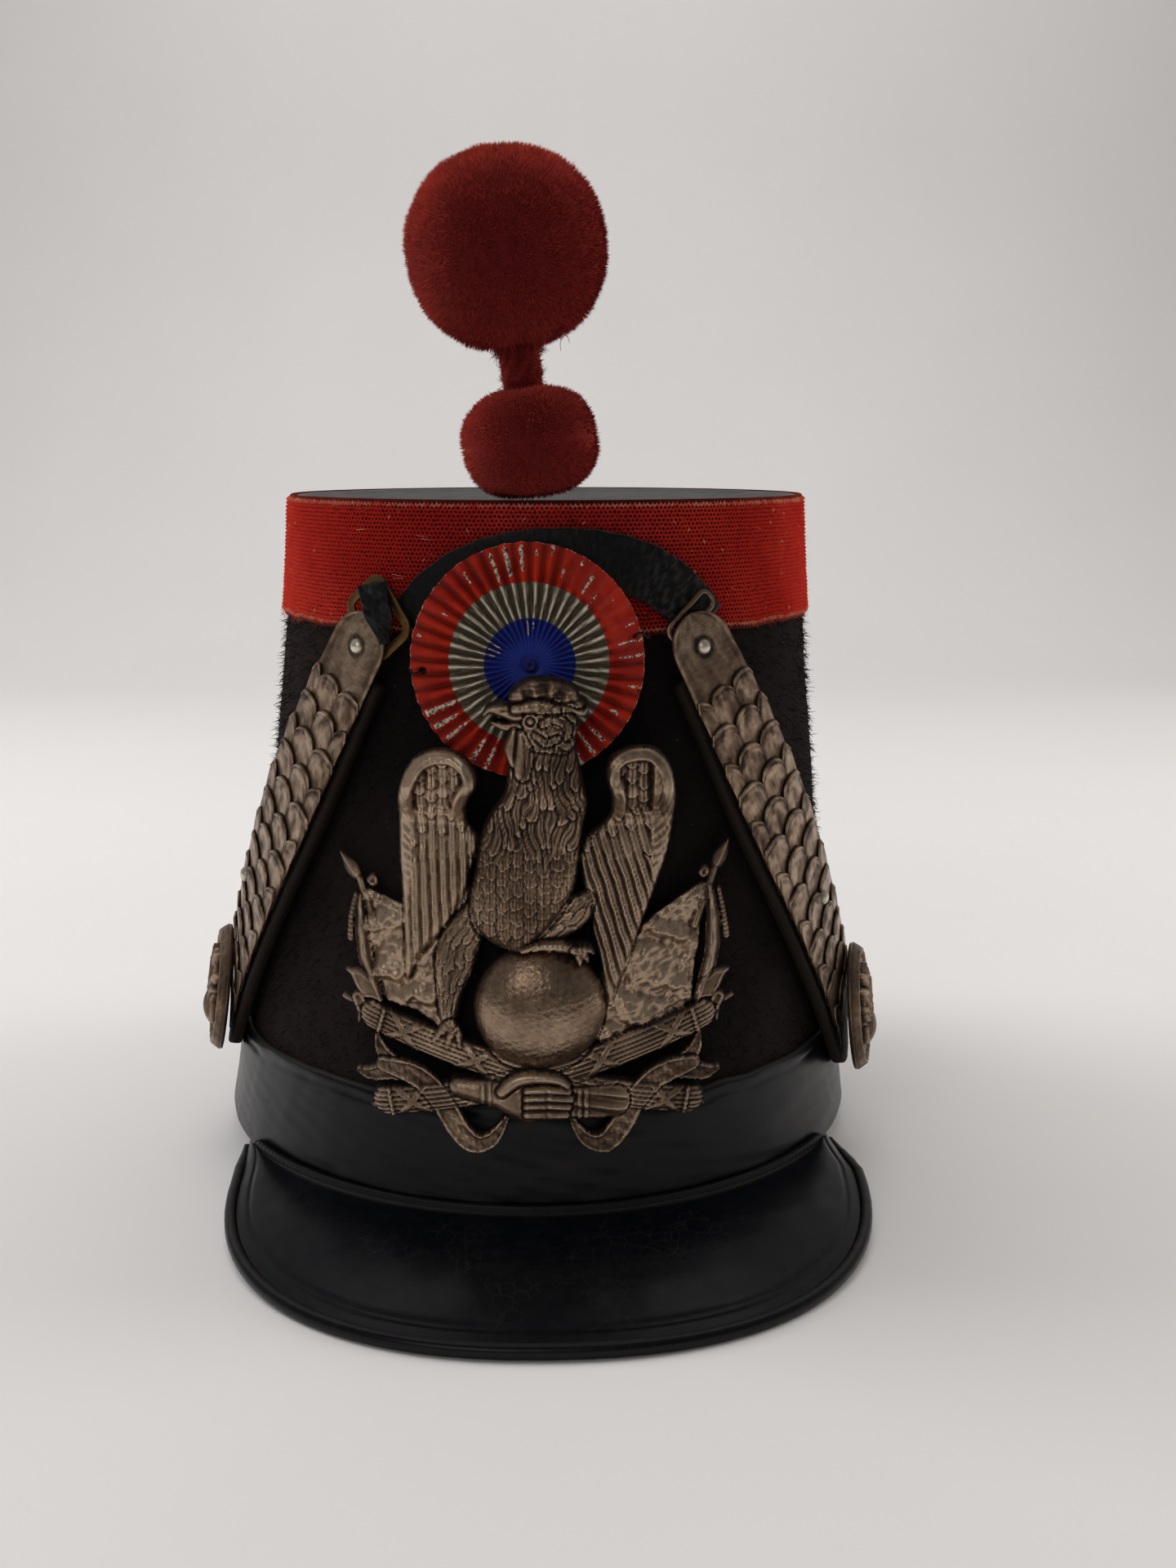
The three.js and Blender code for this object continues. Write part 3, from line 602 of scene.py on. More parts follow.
def felt_material():
    made, w, shader = material("felt")
    fibre = w.group(FIBRE, Scale=1.0)
    colour = w.blend(w.steps(fibre["Fade"], 0.35, 0.7), rgb(31, 27, 28), rgb(41, 36, 35))
    colour = w.blend(w.times(fibre["Fibre"], 0.6), colour, rgb(14, 12, 13))
    colour = w.blend(w.times(fibre["Lint"], 0.35), colour, rgb(96, 86, 76))
    settle(w, shader, Base_Color=colour, Roughness=0.95, Specular_IOR_Level=0.08, Sheen_Weight=0.1,
           Sheen_Tint=rgb(120, 100, 84))
    bump(w, shader, fibre["Fibre"], 0.35, 0.7)
    return made


def wool_material():
    made, w, shader = material("red_wool")
    fibre = w.group(FIBRE, Scale=1.0)
    tone = w.shade()
    colour = w.blend(w.steps(fibre["Fade"], 0.35, 0.65), rgb(206, 44, 34), rgb(228, 62, 48))
    colour = w.blend(w.times(fibre["Fibre"], 0.4), colour, rgb(120, 14, 10))
    # Painted shade: the first value darkens the backing in the holes and the edges of the stitches.
    colour = w.blend(tone["Red"], colour, rgb(28, 3, 3))
    colour = w.blend(tone["Green"], colour, rgb(196, 150, 118))
    settle(w, shader, Base_Color=colour, Roughness=0.9, Specular_IOR_Level=0.2, Sheen_Weight=0.3,
           Sheen_Tint=rgb(230, 90, 70))
    bump(w, shader, fibre["Fibre"], 0.15, 0.6)
    return made


def plush_material():
    made, w, shader = material("crimson_plush")
    fibre = w.group(FIBRE, Scale=0.7)
    tone = w.shade()
    facing = w.node("ShaderNodeLayerWeight")
    facing.inputs["Blend"].default_value = 0.35
    colour = w.blend(w.steps(fibre["Fade"], 0.35, 0.65), rgb(116, 32, 36), rgb(134, 40, 42))
    # Painted shade: the first value darkens the roots of the pile, the core and the neck. Painted light: the second
    # value makes the top and the viewer's left paler, with some random tone.
    colour = w.blend(tone["Red"], colour, rgb(50, 14, 17))
    colour = w.blend(tone["Green"], colour, rgb(236, 108, 92))
    # Painted sheen: the plush is lighter where its surface turns away from the view, towards the outline.
    colour = w.blend(w.times(facing.outputs["Facing"], 0.25), colour, rgb(180, 66, 52))
    settle(w, shader, Base_Color=colour, Roughness=0.95, Specular_IOR_Level=0.15, Sheen_Weight=0.5,
           Sheen_Tint=rgb(255, 110, 84))
    return made


FELT, WOOL, PLUSH = felt_material(), wool_material(), plush_material()
print("fibre materials", FELT.name, WOOL.name, PLUSH.name)

# %% [markdown]
# The leather of the band and the peak is lampblack-dressed calf, nearly black with a satin gloss. That of the chin
# straps is brown and dull where the black has worn off, and the arched strap's is dry and cracked. The metal is
# silvered brass gone brown: its colour falls from a worn grey on the edges to near black in the hollows, and its
# roughness grows with the tarnish. The rivets have been rubbed bright.

# %% Leather and metal
def leather_material(name, scale=1.0, crack=0.25, base=(10, 12, 16), rough=0.33, wear_and_shading=(58, 54, 50), scuffed=0.3,
                     gloss=0.24):
    made, w, shader = material(name)
    skin = w.group(LEATHER, Scale=scale)
    dust = w.group(DUST, Amount=0.02)
    tone = w.shade()
    colour = w.blend(w.times(skin["Scuff"], scuffed), rgb(*base), rgb(34, 33, 34))
    colour = w.blend(w.times(skin["Crack"], crack), colour, rgb(*wear_and_shading))
    # Painted shade: the first value darkens the peak's groove and the deep cracks of the arched strap. The second is
    # wear, and along the peak's crease also a painted highlight.
    colour = w.blend(tone["Red"], colour, rgb(8, 8, 9))
    colour = w.blend(tone["Green"], colour, rgb(*wear_and_shading))
    colour = w.blend(dust["Dust"], colour, rgb(96, 94, 92))
    roughness = w.plus(rough, w.times(skin["Scuff"], scuffed * 0.3))
    roughness = w.plus(roughness, w.times(tone["Green"], 0.3))
    roughness = w.plus(roughness, w.times(skin["Crack"], crack), True)
    settle(w, shader, Base_Color=colour, Roughness=roughness, Specular_IOR_Level=gloss)
    height = w.minus(skin["Grain"], w.times(skin["Crack"], crack * 4))
    bump(w, shader, height, 0.05, 0.4)
    return made


def metal_material(name, scale=1.0, bright=(196, 171, 146), middle=(110, 88, 71), dark=(30, 21, 16), rough=0.36):
    made, w, shader = material(name)
    tone = w.shade()
    patina = w.group(TARNISH, Hollow=tone["Red"], Scale=scale)
    dust = w.group(DUST, Amount=0.1)
    colour = w.blend(w.times(patina["Rub"], 0.8), rgb(*middle), rgb(*bright))
    colour = w.blend(patina["Tarnish"], colour, rgb(*dark))
    colour = w.blend(dust["Dust"], colour, rgb(130, 120, 108))
    metallic = w.minus(0.92, w.times(patina["Tarnish"], 0.5))
    roughness = w.plus(rough, w.times(patina["Tarnish"], 0.32))
    roughness = w.minus(roughness, w.times(tone["Green"], 0.09), True)
    settle(w, shader, Base_Color=colour, Metallic=metallic, Roughness=roughness)
    bump(w, shader, w.plus(patina["Pits"], patina["Tarnish"]), 0.05, 0.5)
    return made


BLACK = leather_material("black_leather", crack=0.1, scuffed=0.05)
STRAP = leather_material("strap_leather", 1.0, 0.3, (30, 24, 21), 0.62, (74, 62, 52), 0.3, 0.14)
DRY = leather_material("cracked_leather", 1.2, 0.7, (10, 10, 11), 0.5, (62, 58, 54), 0.6, 0.2)
SILVER = metal_material("tarnished_silver")
RUBBED = metal_material("rubbed_silver", 1.0, (236, 226, 208), (176, 164, 146), (76, 64, 54), 0.34)
BRASS = metal_material("dull_brass", 1.0, (150, 116, 76), (98, 74, 46), (40, 28, 18), 0.45)
print("leather and metal", [m.name for m in (BLACK, STRAP, DRY, SILVER, RUBBED, BRASS)])

# %% [markdown]
# The cockade is painted tin. Three rings of paint, blue, silver and red, are told apart by the zone that the mesh
# carries. Where the paint has flaked, pale bare tin and rust show, and the folds are darkened towards their valleys
# as painted shade.

# %% Painted tin and paper
def painted_material():
    """The cockade: the mesh carries the paint zone (red), where it is bare and, in the silver ring, how rubbed it is
    with a painted highlight on the fold backs (green), and the depth in a fold (blue), which becomes painted shade.
    """
    made, w, shader = material("painted_tin")
    tone = w.shade()
    zone, wear, depth = tone["Red"], tone["Green"], tone["Blue"]
    flake = w.noise(1500.0, 4, 0.7)
    patches = w.noise(150.0, 3, 0.6)
    rough_wear = w.plus(wear, w.times(w.minus(flake, 0.5), 0.7))
    chip = w.steps(rough_wear, 0.42, 0.56)
    # In the silver ring the second value is rubbed wear and a painted highlight on the backs of the folds.
    silver = w.blend(w.steps(rough_wear, -0.05, 0.95), rgb(112, 102, 86), rgb(206, 196, 178))
    blue = w.blend(patches, rgb(26, 40, 112), rgb(36, 54, 146))
    red = w.blend(w.steps(patches, 0.35, 0.65), rgb(148, 29, 13), rgb(178, 42, 20))
    in_silver = w.times(w.steps(zone, 0.388, 0.394), w.minus(1.0, w.steps(zone, 0.686, 0.692)))
    paint = w.blend(w.steps(zone, 0.5, 0.51), blue, red)
    # Painted shade: the paint is darkened towards the valleys of the folds.
    paint = w.blend(w.times(depth, 0.6), paint, rgb(48, 20, 18))
    bare = w.blend(w.steps(flake, 0.4, 0.58), rgb(58, 48, 42), rgb(214, 204, 186))
    metal = w.math("MAXIMUM", in_silver, chip)
    colour = w.blend(chip, paint, bare)
    colour = w.blend(in_silver, colour, silver)
    # Painted shade: darker still deep in the folds, in the holes and in the sunk ring.
    colour = w.blend(w.times(w.steps(depth, 0.3, 0.6), 0.45), colour, rgb(24, 18, 15))
    colour = w.blend(w.steps(depth, 0.62, 0.95), colour, rgb(20, 16, 14))
    settle(w, shader, Base_Color=colour, Metallic=w.times(metal, 0.7),
           Roughness=w.steps(flake, 0.3, 0.7, 0.36, 0.6), Specular_IOR_Level=0.18)
    bump(w, shader, w.minus(w.times(flake, 0.5), w.times(chip, 0.5)), 0.1, 0.6)
    return made


def paper_material():
    made, w, shader = material("pale_paper")
    tone = w.noise(6.0, 3)
    settle(w, shader, Base_Color=w.blend(tone, rgb(214, 211, 209), rgb(220, 217, 215)), Roughness=0.75)
    bump(w, shader, w.noise(500.0, 3), 0.05, 0.3)
    return made


PAINT = painted_material()
paper.data.materials.append(paper_material())
print("materials", [m.name for m in bpy.data.materials])

# %% [markdown]
# ## The felt wall
# The body is a stiff, shellacked fur felt, hollow, 3 mm thick, with a short nap that shows as a haze on the outline.
# The wall is one smooth sheet with slight dents from handling. The nap is a layer of short seeded fibres, mostly
# brushed downwards, thinned out where the bands cover it.

# %% The felt wall and its nap
AROUND = 360


def felt_dents(turn, drop):
    return 0.35 * wobble(sin(turn) * 80, cos(turn) * 90, drop * 160, pitch=46, seed=3)


def ring_grid(drops, outs, count=AROUND):
    turn = turns_of(count)[:, None]
    return turn, np.asarray(drops)[None, :], np.asarray(outs)[None, :]


drops = concatenate([linspace(0.0145, 1.0, 46), [1.0, 1.0], linspace(1.0, 0.0145, 10), [0.0145, 0.0145]])
outs = concatenate([np.zeros(46), [-0.8, -2.2], np.full(10, -3.0), [-2.2, -0.8]])
turn, drop, out = ring_grid(drops, outs)
out = out + felt_dents(turn, drop) * ((drop > 0.2) & (drop < 0.8)) * (out > -1)
finish(tube("felt_wall", wall(turn, drop, out), closed=True), "felt", FELT, "body_shell")

count = 28000
turn = RNG.uniform(0, 2 * pi, count)
drop = RNG.uniform(0.18, 0.84, count)
roots = wall(turn, drop, -0.1)
downward = unit(wall(turn, drop + 0.01) - wall(turn, drop - 0.01))
lean = unit(wall_normal(turn, drop) * 0.75 + downward * 0.5 + scatter(count, 0.5))
tips = roots + lean * RNG.uniform(0.9, 1.3, (count, 1)) * RNG.choice([1.0, 1.6, 2.5], (count, 1), p=[0.45, 0.35, 0.2])
finish(strands("felt_nap", roots, tips, 0.2, scatter(count, 0.12)), "felt", FELT)

# %% [markdown]
# ## Crown
# The top is a disc of grey-black leather, dished a little and turned over a cord at its rim. Age has puckered it. The
# camera looks along it, so only its rim and a narrow strip of wrinkles show in the photograph.

# %% Crown
count = 200
angle = turns_of(count)[None, :]
share = concatenate([linspace(0.02, 0.9, 26), [0.925, 0.95, 0.97, 0.985, 0.995, 1.0, 0.995, 0.98, 0.5, 0.05]])
level = np.interp(share, [0, 0.86, 0.93, 0.96, 0.985, 1], [-1.2, -0.72, 0, 0.35, 0.2, -0.6])
level[-4:] = [-1.1, -1.7, -1.7, -1.7]
share, level = share[:, None], level[:, None]
x, y = share * sin(angle), -share * cos(angle)
pucker = 0.4 * wobble(x * 65, y * 74, pitch=17, seed=8, layers=4) * ease(1 - share, 0.0, 0.12) * (level > -1.5)
points = stack([SHIFT_X + CROWN[2] + CROWN[0] * x, CROWN[3] + CROWN[1] * y, CROWN_Z + level + pucker], -1)
# The grey is wear, most on the rim's cord; the crests of the puckers are a little paler, as wear and painted
# highlight.
wear_and_shading = tint(pucker, green=0.3 + 0.14 * ease(pucker, -0.3, 0.4) + 0.4 * (np.abs(share - 0.97) < 0.02))
CROWN_LEATHER = leather_material("crown_leather", 0.8, 0.5, (40, 41, 43), 0.6, (104, 103, 101), 0.2, 0.16)
finish(tube("crown_leather_top", points, colour=wear_and_shading), "black_leather", CROWN_LEATHER, "crown_top")

# %% [markdown]
# ## Red band
# A knitted scarlet band is sewn round the top. Its stitches are small V shapes with dark holes between them. Each leg
# of each stitch is a little raised leaf of wool, which costs four triangles and still casts its own shadow, and its
# edges are painted darker as shade. The backing under the leaves is coloured near black, as painted shade in the
# holes.

# %% The band's backing
BAND_TOP, BAND_END = -0.002, 0.18


def edge_wave(turn, drop):
    """The lower edge of the band isn't quite level."""
    return 0.0035 * wobble(sin(turn) * 70, cos(turn) * 70, pitch=30, seed=21) * ease(drop, 0.1, BAND_END)


def band_swell(turn, drop):
    return 0.27 * wobble(sin(turn) * 70, cos(turn) * 75, drop * 160, pitch=16, seed=5)


front, back = linspace(BAND_TOP, BAND_END, 14), linspace(BAND_END, BAND_TOP, 3)
band_drops = concatenate([front, [0.181, 0.181], back, [-0.003] * 2])
band_outs = concatenate([[0.7], np.full(12, 1.05), [0.8], [0.65, 0.4], np.full(3, 0.3), [0.4, 0.6]])
turn, drop, out = ring_grid(band_drops, band_outs)
out = out + band_swell(turn, drop) * (out > 0.6)
points = wall(turn, drop + edge_wave(turn, drop), out)
# The backing is coloured near black, as painted shade in the holes between the stitches.
backing = tube("red_band_backing", points, closed=True, colour=tint(points, red=0.95))
finish(backing, "red_wool", WOOL, "red_band")

# %% [markdown]
# The stitches stand in 30 rows of 400, each of two leaning legs. The real band has about one and a half times as many,
# which would be too many triangles. Their places, lean and size vary a little, as wool does.

# %% The band's stitches
columns, rows = ((400, 30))
column, row, leg = np.meshgrid(np.arange(columns), np.arange(rows), [-1, 1], indexing="ij")
column, row, leg = (v.ravel().astype(float) for v in (column, row, leg))
offset = 0.5 * (row % 2)  # every other row sits between the holes of its neighbours
turn = 2 * pi * (column + offset + leg * 0.25 + RNG.normal(size=column.size) * 0.035) / columns
drop = mix(0.002, 0.176, (row + 0.5 + RNG.normal(size=row.size) * 0.06) / rows)
drop = drop + edge_wave(turn, drop)
right, up, normal = wall_axes(turn, drop)
tilt = np.radians(31 * leg + RNG.normal(size=leg.size) * 9)[:, None]
along = up * cos(tilt) + right * sin(tilt)
across = np.cross(along, normal)
middle = wall(turn, drop, 1.0 + band_swell(turn, drop))
long, wide = 0.76 * RNG.uniform(0.9, 1.12, (leg.size, 1)), 0.25 * RNG.uniform(0.8, 1.2, (leg.size, 1))
tall = RNG.uniform(0.45, 0.75, (leg.size, 1))
points = stack([middle + along * long, middle + across * wide, middle - along * long, middle - across * wide,
                   middle + normal * tall], 1)
fade_and_sheen = ease(np.abs((row + 0.5) / rows - 0.5), 0.46, 0.5) * RNG.uniform(0, 0.9, leg.size)
fade_and_sheen = maximum(fade_and_sheen, 0.6 * (RNG.uniform(size=leg.size) < 0.004))
shade = np.zeros((leg.size, 5, 3))
# Painted shade: the edges of each leg are darker than its raised middle.
shade[:, :4, 0] = 0.3
shade[:, 4, 0] = 0.05 * RNG.uniform(0, 3, leg.size)
shade[..., 1] = fade_and_sheen[:, None]
start = np.arange(leg.size)[:, None, None] * 5
tris = start + array([[[0, 1, 4], [1, 2, 4], [2, 3, 4], [3, 0, 4]]])
knit = mesh_object("red_band_stitches", points.reshape(-1, 3), (), tris.reshape(-1, 3), shade.reshape(-1, 3))
finish(knit, "red_wool", WOOL)

# %% [markdown]
# Short fibres stand off the whole band and fray along its lower edge, where they have faded. Some longer threads have
# worked loose, most of them at the worn patch on the viewer's left.

# %% Frays and loose threads
count = 5200
turn = RNG.uniform(0, 2 * pi, count)
place_on_band = RNG.uniform(size=count)
drop = np.where(place_on_band < 0.15, RNG.uniform(0.172, 0.182, count), RNG.uniform(0.0, 0.178, count))
roots = wall(turn, drop, 1.2)
lean = unit(wall_normal(turn, drop) * RNG.uniform(0.1, 0.8, (count, 1)) + scatter(count, 0.6)
            + array([0, 0, -0.5]) * (drop > 0.17)[:, None])
tips = roots + lean * RNG.uniform(0.5, 1.5, (count, 1))
fade_and_sheen = np.where(drop > 0.17, RNG.uniform(0, 0.45, count), 0.6 * (RNG.uniform(size=count) < 0.03))
pale = tint(drop, green=fade_and_sheen)
frays = strands("red_band_frays", roots, tips, 0.085, scatter(count, 0.2), pale)
finish(frays, "red_wool", WOOL)

count, in_worn_patch = 44, 14
turn = concatenate([np.radians(RNG.uniform(-31, -21, in_worn_patch)),
                       RNG.uniform(0, 2 * pi, count - in_worn_patch)])
drop = RNG.uniform(0.03, 0.17, count)
reach = RNG.uniform(1.5, 4.5, count) / 70
slack = RNG.normal(size=count) * 0.004
pale = tint(drop, green=RNG.uniform(0.4, 0.9, count))
roots, tips = wall(turn - reach / 2, drop, 1.75), wall(turn + reach / 2, drop + slack, 1.8)
threads = strands("red_band_loose_threads", roots, tips, 0.13, wall_normal(turn, drop) * 0.15, pale)
finish(threads, "red_wool", WOOL)

# %% [markdown]
# ## Leather band
# A band of black glossed leather goes round the base. It is one smooth sheet with a pressed crease near its upper
# edge, which waves a little, and with shallow dents from wear. Its edges and one spot at the front are scuffed grey.

# %% Leather band
top_drops = linspace(0.8355, 0.9995, 40)
band_drops = concatenate([top_drops, [1.0, 1.0], linspace(0.9995, 0.8355, 8), [0.835, 0.835]])
band_outs = concatenate([[1.5, 1.7], np.full(36, 1.8), [1.75, 1.5], [1.2, 0.6], np.full(8, 0.3), [0.5, 1.1]])
turn, drop, out = ring_grid(band_drops, band_outs)
wave = 0.004 * wobble(sin(turn) * 80, cos(turn) * 95, pitch=44, seed=14)
dents = 0.22 * wobble(sin(turn) * 80, cos(turn) * 95, drop * 420, pitch=34, seed=15, layers=4)
crease = -0.28 * ridge(drop - 0.853 - wave, 0.0035)
out = maximum(out + (dents + crease) * (out > 1.6), 0.25)
points = wall(turn, drop + wave * (1 - ease(drop, 0.84, 0.95)), out)
wear_and_shading = tint(points, green=0.55 * ease(np.abs(drop - 0.9175), 0.078, 0.083))
scuff_turn, scuff_drop = on_face(3.5, 22.0)
scuff = hypot((turn - scuff_turn) * 75 / 7, (drop - scuff_drop) * 165 / 3.5)
wear_and_shading[..., 1] += 0.35 * (1 - ease(scuff, 0, 1)) * (cos(turn) > 0)
finish(tube("leather_band_gloss", points, closed=True, colour=wear_and_shading), "black_leather", BLACK, "leather_band")

# %% [markdown]
# ## Peak
# The peak is a thick curved leather, sewn to the front of the band by a narrow flange, which shows as a rough strip
# with stitches. At the crease it turns and sweeps forward and down. Its outline is a squarish half oval, given by
# one line that its edge and its binding share.

# %% The peak's shape
PEAK_TURN = math.radians(55)
WELT_RADIUS = 1.7


def welt_line(share):
    """Middle line of the binding on the peak's edge, from -1 at the viewer's left end to 1."""
    share = np.asarray(share, float)
    side = np.where(share < 0, -1.0, 1.0)
    part = np.abs(share)
    end = wall(side * math.radians(58.5), 0.985, 3.9)
    angle = clip(part / 0.84, 0, 1) * pi / 2
    power = 2 / 2.25
    x = SHIFT_X + 0.9 + side * 75.9 * clip(sin(angle), 0, 1) ** power
    y = -50 - 76 * clip(cos(angle), 0, 1) ** power
    t = clip((part - 0.84) / 0.16, 0, 1)
    x, y = mix(x, end[..., 0], t), mix(y, end[..., 1], t)
    rise = clip((y + 112) / (end[..., 1] + 112), 0, None)
    return stack([x, y, WELT_RADIUS + 6 * rise ** 1.6], -1)


def peak_point(share, row, top):
    """row is 0 to 1 down the flange and 1 to 2 from the crease to the edge."""
    turn = PEAK_TURN * share
    side = np.where(top, 1.0, 0.0)
    out = mix(2.1, 3.8, side)
    flange = wall(turn, mix(0.978, 1.0, clip(row, 0, 1)), out)
    flange[..., 2] += 1.9 * side * clip(row, 0, 1)
    joint = wall(turn, 1.0, out)
    joint[..., 2] += 1.9 * side
    tangent = welt_line(minimum(1, share + 0.01)) - welt_line(maximum(-1, share - 0.01))
    inward = unit(stack([-tangent[..., 1], tangent[..., 0], 0 * tangent[..., 2]], -1))
    edge = welt_line(share) + inward * 0.5
    edge[..., 2] += (side - 0.5) * 1.4
    t = clip(row - 1, 0, 1)[..., None]
    spot = mix(joint, edge, t)
    spot[..., 2] += (2.6 * sin(pi * t[..., 0]) * cos(turn))
    return np.where(row[..., None] < 1, flange, spot)


print("front of the peak's binding", welt_line(0.0).round(1))

# %% [markdown]
# A groove is pressed a little inside the edge. The binding is a rounded strip, folded over the edge and squeezed
# flatter, which thins at its ends.

# %% Peak and binding
share = crowded(240)[:, None]
row_top = concatenate([linspace(0, 0.96, 8), 1 + linspace(0, 1, 52)])[None, :]
top = peak_point(share + 0 * row_top, row_top + 0 * share, True)
row_bottom = row_top[:, ::6]
bottom = peak_point(share + 0 * row_bottom, row_bottom + 0 * share, False)
reach = np.linalg.norm(top[:, -1] - top[:, 8], axis=-1)[:, None]
from_edge = (2 - row_top) * reach
from_crease = (row_top - 1) * reach
groove = -0.45 * ridge(from_edge - 4.2, 0.55) * (row_top > 1) * ease(reach, 3, 12)
crease = 0.35 * ridge(from_crease, 1.1) * (row_top >= 1)
dents = 0.3 * wobble(top[..., 0], top[..., 1], pitch=38, seed=31)
dents = dents * ease(minimum(from_edge, from_crease), 0, 14) * (row_top > 1)
top[..., 2] += groove + crease + dents
top[..., 1] -= 0.12 * sin(share * 300) * (row_top < 1)  # the stitches of the flange
sections = concatenate([top, bottom[:, ::-1]], 1)
wear_and_shading = tint(sections)  # only the upper side, which has 60 of the columns
# A pale line along the crease, as wear and painted highlight, a little wear on the flange, and painted shade in the
# groove.
wear_and_shading[:, :60, 1] = 0.9 * ridge(from_crease, 0.7) + 0.15 * (row_top < 1)
wear_and_shading[:, :60, 0] = 0.5 * (groove < -0.15)
finish(tube("peak_leather", sections, colour=wear_and_shading), "black_leather", BLACK, "peak")

share = crowded(260)
line = welt_line(share)
ahead = unit(np.gradient(line, axis=0))
side = unit(np.cross(ahead, array([0, 0, 1.0])))
lift = np.cross(side, ahead)
angle = turns_of(20)[None, :, None]
swell = WELT_RADIUS * (1 - 0.05 * maximum(0, cos(4 * angle)))
swell = swell * mix(0.5, 1, ease(1 - np.abs(share), 0, 0.12))[:, None, None]
swell = swell * (1 + 0.02 * wobble(share * 200, pitch=9, seed=41))[:, None, None]
sections = line[:, None] + side[:, None] * cos(angle) * swell + lift[:, None] * sin(angle) * swell
wear_and_shading = tint(sections, green=0.3 * (np.abs(angle[..., 0] - pi / 2) < 0.5))
finish(tube("peak_binding", sections, colour=wear_and_shading), "black_leather", BLACK, "peak_welt")

# %% [markdown]
# ## Cockade
# A disc of tinned iron pressed into 44 radial folds and painted blue, silver and red. The paint has flaked along the
# backs of the folds, at places read off the photograph and at some chance ones, and the rim has rusted.

# %% The cockade's place and its chips
COCKADE_R = 25.7
FOLDS = 44
spot_turn = math.asin(-4.2 / oval(0.214)[0])
origin, right, up, normal = wall_frame(spot_turn, 0.214, 4.4)


def on_disc(radius, angle, height):
    return (origin + right * (radius * cos(angle))[..., None] + up * (radius * sin(angle))[..., None]
            + normal * height[..., None])


def chips(angle, radius):
    """Bare streaks along the backs of the folds, most of them where the photograph has them."""
    random = np.random.default_rng(44)
    bare = np.zeros(np.broadcast(angle, radius).shape)
    spots = [(104, 19, 25, 0.15), (111, 18.5, 24.5, 0.12), (96, 20, 25, 0.12), (207, 18, 25, 0.17),
             (215, 20, 25, 0.15), (228, 20, 25, 0.14), (243, 19, 25, 0.13), (252, 20, 24.5, 0.12),
             (298, 19, 25.5, 0.16), (306, 18.5, 25, 0.12), (318, 19.5, 24.5, 0.12), (331, 21, 22.4, 0.14),
             (150, 7.6, 9.8, 0.18), (159, 7, 9.6, 0.16), (97, 6.4, 9.6, 0.16), (86, 7.6, 9.4, 0.12),
             (168, 7.8, 9.8, 0.14), (52, 19, 21, 0.1), (14, 19, 25, 0.06), (2, 20, 25, 0.06)]
    spots += [(random.uniform(0, 360), r, r + random.uniform(0.5, 2.5), random.uniform(0.05, 0.1))
              for r in random.uniform(10.5, 24, 46)]
    for degrees, start, stop, wide in spots:  # start and stop in millimetres from the middle
        fold = round(degrees / 360 * FOLDS - 0.5) + 0.5
        away = np.abs((angle / (2 * pi) * FOLDS - fold + FOLDS / 2) % FOLDS - FOLDS / 2)
        ragged = 0.06 * wobble(radius * 2.2 + fold * 9, angle * 60, pitch=2.4, seed=17)
        bare = maximum(bare, (away < wide + ragged) * (radius > start + 9 * ragged) * (radius < stop + 9 * ragged))
    return bare


print("middle of the cockade", origin.round(1))

# %% [markdown]
# The folds have round backs and narrow valleys, are lower in the middle ring, and are pressed flat at the upper right.
# The middle is a small button with a sunk ring, and two holes take the thread that ties the disc on.

# %% The cockade's heights
angle = turns_of(FOLDS * 16)[:, None]
radius = concatenate([linspace(0.12, 1.7, 7), linspace(1.95, COCKADE_R - 0.4, 54),
                         [COCKADE_R - 0.12, COCKADE_R]])[None, :]
phase = (angle / (2 * pi) * FOLDS + 0.05 * wobble(angle * 9, radius * 0.3, pitch=5, seed=2)) % 1
back = sin(pi * phase) ** 2 * 0.6 + 0.4 * np.abs(sin(pi * phase))
zone = radius / COCKADE_R + 0.006 * wobble(angle * 26, radius, pitch=3, seed=12)
flat_sector = 1 - 0.75 * ease(cos(angle - 0.65), 0.75, 1.0) * ease(zone, 0.68, 0.76)
tall = 1.3 * ease(radius, 3.2, 10) * mix(0.75, 1.0, ease(radius, 10, 13))
tall = tall * mix(1.0, 0.7, ease(radius, 18, 25)) * flat_sector
depth = (1 - back) * ease(radius, 3, 8) * flat_sector
height = 0.75 + tall * back + 0.35 * (1 - ease(radius, 3, 10))
height = height - 0.3 * ridge(radius - 1.75, 0.3) + 0.75 * ease(1.55 - radius, 0, 0.5)
height = height - 0.3 * ease(0.7 - radius, 0, 0.3)
height = height + 0.2 * wobble(radius * cos(angle), radius * sin(angle), pitch=12, seed=4)
height = height - 0.18 * ridge(zone - 0.39, 0.008)
holes = array([[-23.0, -2.4], [23.0, 5.4]])
# Painted shade: the sunk ring, the middle and the two holes are darkened.
dark = ridge(radius - 1.75, 0.35) * 0.9 + 0.75 * ease(1.6 - radius, 0, 0.3)
for hole_x, hole_y in holes:
    distance = hypot(radius * cos(angle) - hole_x, radius * sin(angle) - hole_y)
    dark = maximum(dark, 1.6 * (1 - ease(distance, 0.62, 0.9)))
    height = height - 1.1 * (1 - ease(distance, 0.6, 0.95))
height = maximum(height, 0.35)
print("heights of the cockade", height.min().round(2), "to", height.max().round(2))

# %% [markdown]
# The mesh carries the paint zone, the wear and the depth of each point, and the material turns these into paint, bare
# tin, rust and painted shade. The silver ring is rubbed in streaks that follow the folds, and is painted paler on the
# backs of the folds as painted highlight.

# %% Cockade
rim = 1 - 0.004 * (1 - back) - 0.004 * np.abs(wobble(angle * 26, pitch=11, seed=7))
